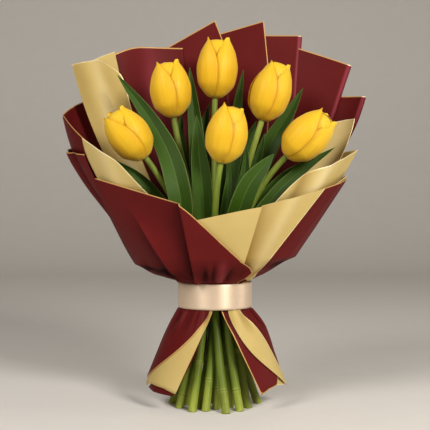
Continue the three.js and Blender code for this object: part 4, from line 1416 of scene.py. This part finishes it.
def bloom_heart(name):
    """The receptacle, the pistil and the six stamens round it."""
    profile = [(2.9, -0.3), (3.1, 0.8), (6, 3.4), (6.4, 5), (3, 6.4)]
    receptacle = lathe_piece(f"{name}_seat", profile, 20, "stem")
    profile = [(3.6, 5.6), (4, 12), (3.6, 20), (3.2, 23), (4.8, 25.4), (4.2, 27), (1.5, 27.6)]
    pistil = lathe_piece(f"{name}_pistil", profile, 16, "pistil")
    profile = [(0.7, 5.5), (0.6, 12), (1.5, 13), (1.7, 17), (1.3, 21), (0.5, 23)]
    anther = lathe_piece(f"{name}_anther", profile, 8, "pollen")
    anther.data.transform(Matrix.Translation((0, -ANTHER_REACH * MM, 0)))
    return [receptacle, pistil, whorl(anther, 6, 0.04, 5, "pollen", Lean=0.05)]


def bloom_piece(stem, index):
    name = f"bloom_{index + 1}"
    outer = petal_piece(f"{name}_outer", OUTER_PETAL, OUTER_RADIUS, overlap=1.3, crown=1.0, seed=index)
    inner = petal_piece(f"{name}_inner", INNER_PETAL, INNER_RADIUS, overlap=0.4, crown=0.8, seed=index + 3)
    whorls = [
        whorl(outer, 3, 0.02, index + 1, "petal", Start=radians(60)),
        whorl(inner, 3, 0.015, index + 31, "petal"),
    ]
    piece = joined(f"{name}_petals", [*whorls, *bloom_heart(name)])
    neck, tip, turn = stem["bloom"]
    up = Vector(bloom_axis(stem["bloom"]))
    backward = Vector((0, 1, 0)) - up * up.y
    backward.normalize()
    right = backward.cross(up)
    spin = radians(turn)
    stretch = np.linalg.norm(np.array(tip) - neck) / BLOOM_HEIGHT
    across = right * cos(spin) + backward * sin(spin)
    inward = backward * cos(spin) - right * sin(spin)
    place = Vector(neck) * MM
    rows = [(across[k], inward[k], up[k] * stretch, place[k]) for k in range(3)]
    piece.data.transform(Matrix((*rows, (0, 0, 0, 1))))
    piece.data.update()
    return piece


# Ribbon and twine

def ribbon_piece():
    """A satin band wound once round the waist, its outer end lapped over its inner end at the back."""
    turned = np.linspace(0, 360 + RIBBON_LAP_ANGLE, RIBBON_STEPS + 1)
    angles = 180 - RIBBON_LAP_ANGLE / 2 + turned
    radii = RIBBON_RADIUS + RIBBON_LAP_RISE * smoothstep(RIBBON_LAP_START, 360, turned)
    heights = np.linspace(-0.5, 0.5, RIBBON_ROWS) * RIBBON_WIDTH
    rows = []
    for height in heights:
        drop = RIBBON_EDGE_DROP * (2 * abs(height) / RIBBON_WIDTH) ** 4
        rows.append([around(angle, radius - drop, BINDING_HEIGHT + height)
                     for angle, radius in zip(angles, radii)])
    grid = np.array(rows)
    normals = grid_normals(grid)
    normals *= np.sign(np.sum(normals * grid * [1, 1, 0], axis=2, keepdims=True))
    length = np.linalg.norm(np.diff(grid[RIBBON_ROWS // 2], axis=0), axis=1).sum()
    uv = grid_uv(turned / turned[-1] * length * MM * 10, heights * MM * 10)
    half = normals * RIBBON_THICKNESS / 2
    piece = shell_piece("ribbon_band", grid + half, grid - half, ["satin", "satin"], uv)
    return piece, length * MM


def twine_piece():
    """Turns of twine laid side by side round the stems."""
    rise = TWINE_RADIUS * TWINE_PITCH * TWINE_TURNS
    seed = mesh_piece("twine_turns", [(0, 0, 0)], [], ["twine"])
    return grown(seed, WINDING, {
        "Turns": float(TWINE_TURNS),
        "Core": (TWINE_INNER_RADIUS + TWINE_RADIUS) * MM,
        "Thickness": TWINE_RADIUS * MM,
        "Rise": rise * MM,
        "Foot": (0.0, 0.0, (BINDING_HEIGHT - rise / 2) * MM),
        "Material": MATERIALS["twine"],
    })


# Stage, light and camera

def add_camera():
    data = bpy.data.cameras.new("camera")
    data.lens = CAMERA_LENS
    data.sensor_width = CAMERA_SENSOR
    data.clip_start = CAMERA_NEAR
    camera = put_in_scene("camera", data)
    camera.location = CAMERA_PLACE
    camera.rotation_euler = (radians(CAMERA_PITCH), 0, 0)
    bpy.context.scene.camera = camera


def add_area_light(name, place, size, power, tint):
    data = bpy.data.lights.new(name, "AREA")
    data.shape = "DISK"
    data.size = size
    data.energy = power
    data.color = tint
    light = put_in_scene(name, data)
    light.location = place
    light.rotation_euler = (Vector(LIGHT_TARGET) - Vector(place)).to_track_quat("-Z", "Y").to_euler()


def add_stage():
    """A pale floor that sweeps up behind the bunch."""
    turns = np.linspace(0, pi / 2, 12)
    curve = [(FLOOR_BACK + FLOOR_BEND * sin(t), FLOOR_BEND - FLOOR_BEND * cos(t)) for t in turns]
    profile = [(FLOOR_FRONT, 0), *curve, (FLOOR_BACK + FLOOR_BEND, WALL_TOP)]
    points = [(x, y, z) for y, z in profile for x in (-FLOOR_SIDE, FLOOR_SIDE)]
    faces = [(2 * i, 2 * i + 1, 2 * i + 3, 2 * i + 2) for i in range(len(profile) - 1)]
    material, tree, shader = new_material("pale floor", 0.75)
    grain = noise(tree, object_coordinates(tree), 30)
    tone = ramp(tree, grain, [(0.3, (229, 224, 217)), (0.7, (231, 226, 219))])
    set_inputs(shader, {"Base Color": tone})
    MATERIALS["floor"] = material
    floor = mesh_piece("floor", np.array(points) / MM, faces, ["floor"])


def add_world():
    world = bpy.data.worlds.new("studio")
    world.use_nodes = True
    background = world.node_tree.nodes["Background"]
    set_inputs(background, {"Color": WORLD_COLOUR, "Strength": WORLD_STRENGTH})
    bpy.context.scene.world = world


def declare(piece, node):
    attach(piece, "root")
    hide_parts(node)


add_camera()
add_world()
add_stage()
for light in LIGHTS:
    add_area_light(*light)
bpy.context.scene.view_settings.view_transform = "Standard"

for stem in STEMS:
    declare(stem_piece(stem), stem["name"])

for index, stem in enumerate(stem for stem in STEMS if "bloom" in stem):
    declare(bloom_piece(stem, index), f"bloom_{index + 1}")

for sheet in SHEETS:
    declare(paper_sheet(sheet), sheet["name"])

ribbon, ribbon_length = ribbon_piece()
declare(ribbon, "ribbon")
[f"{sheet['name']}_paper" for sheet in SHEETS[:1]]
declare(twine_piece(), "stem_binding")
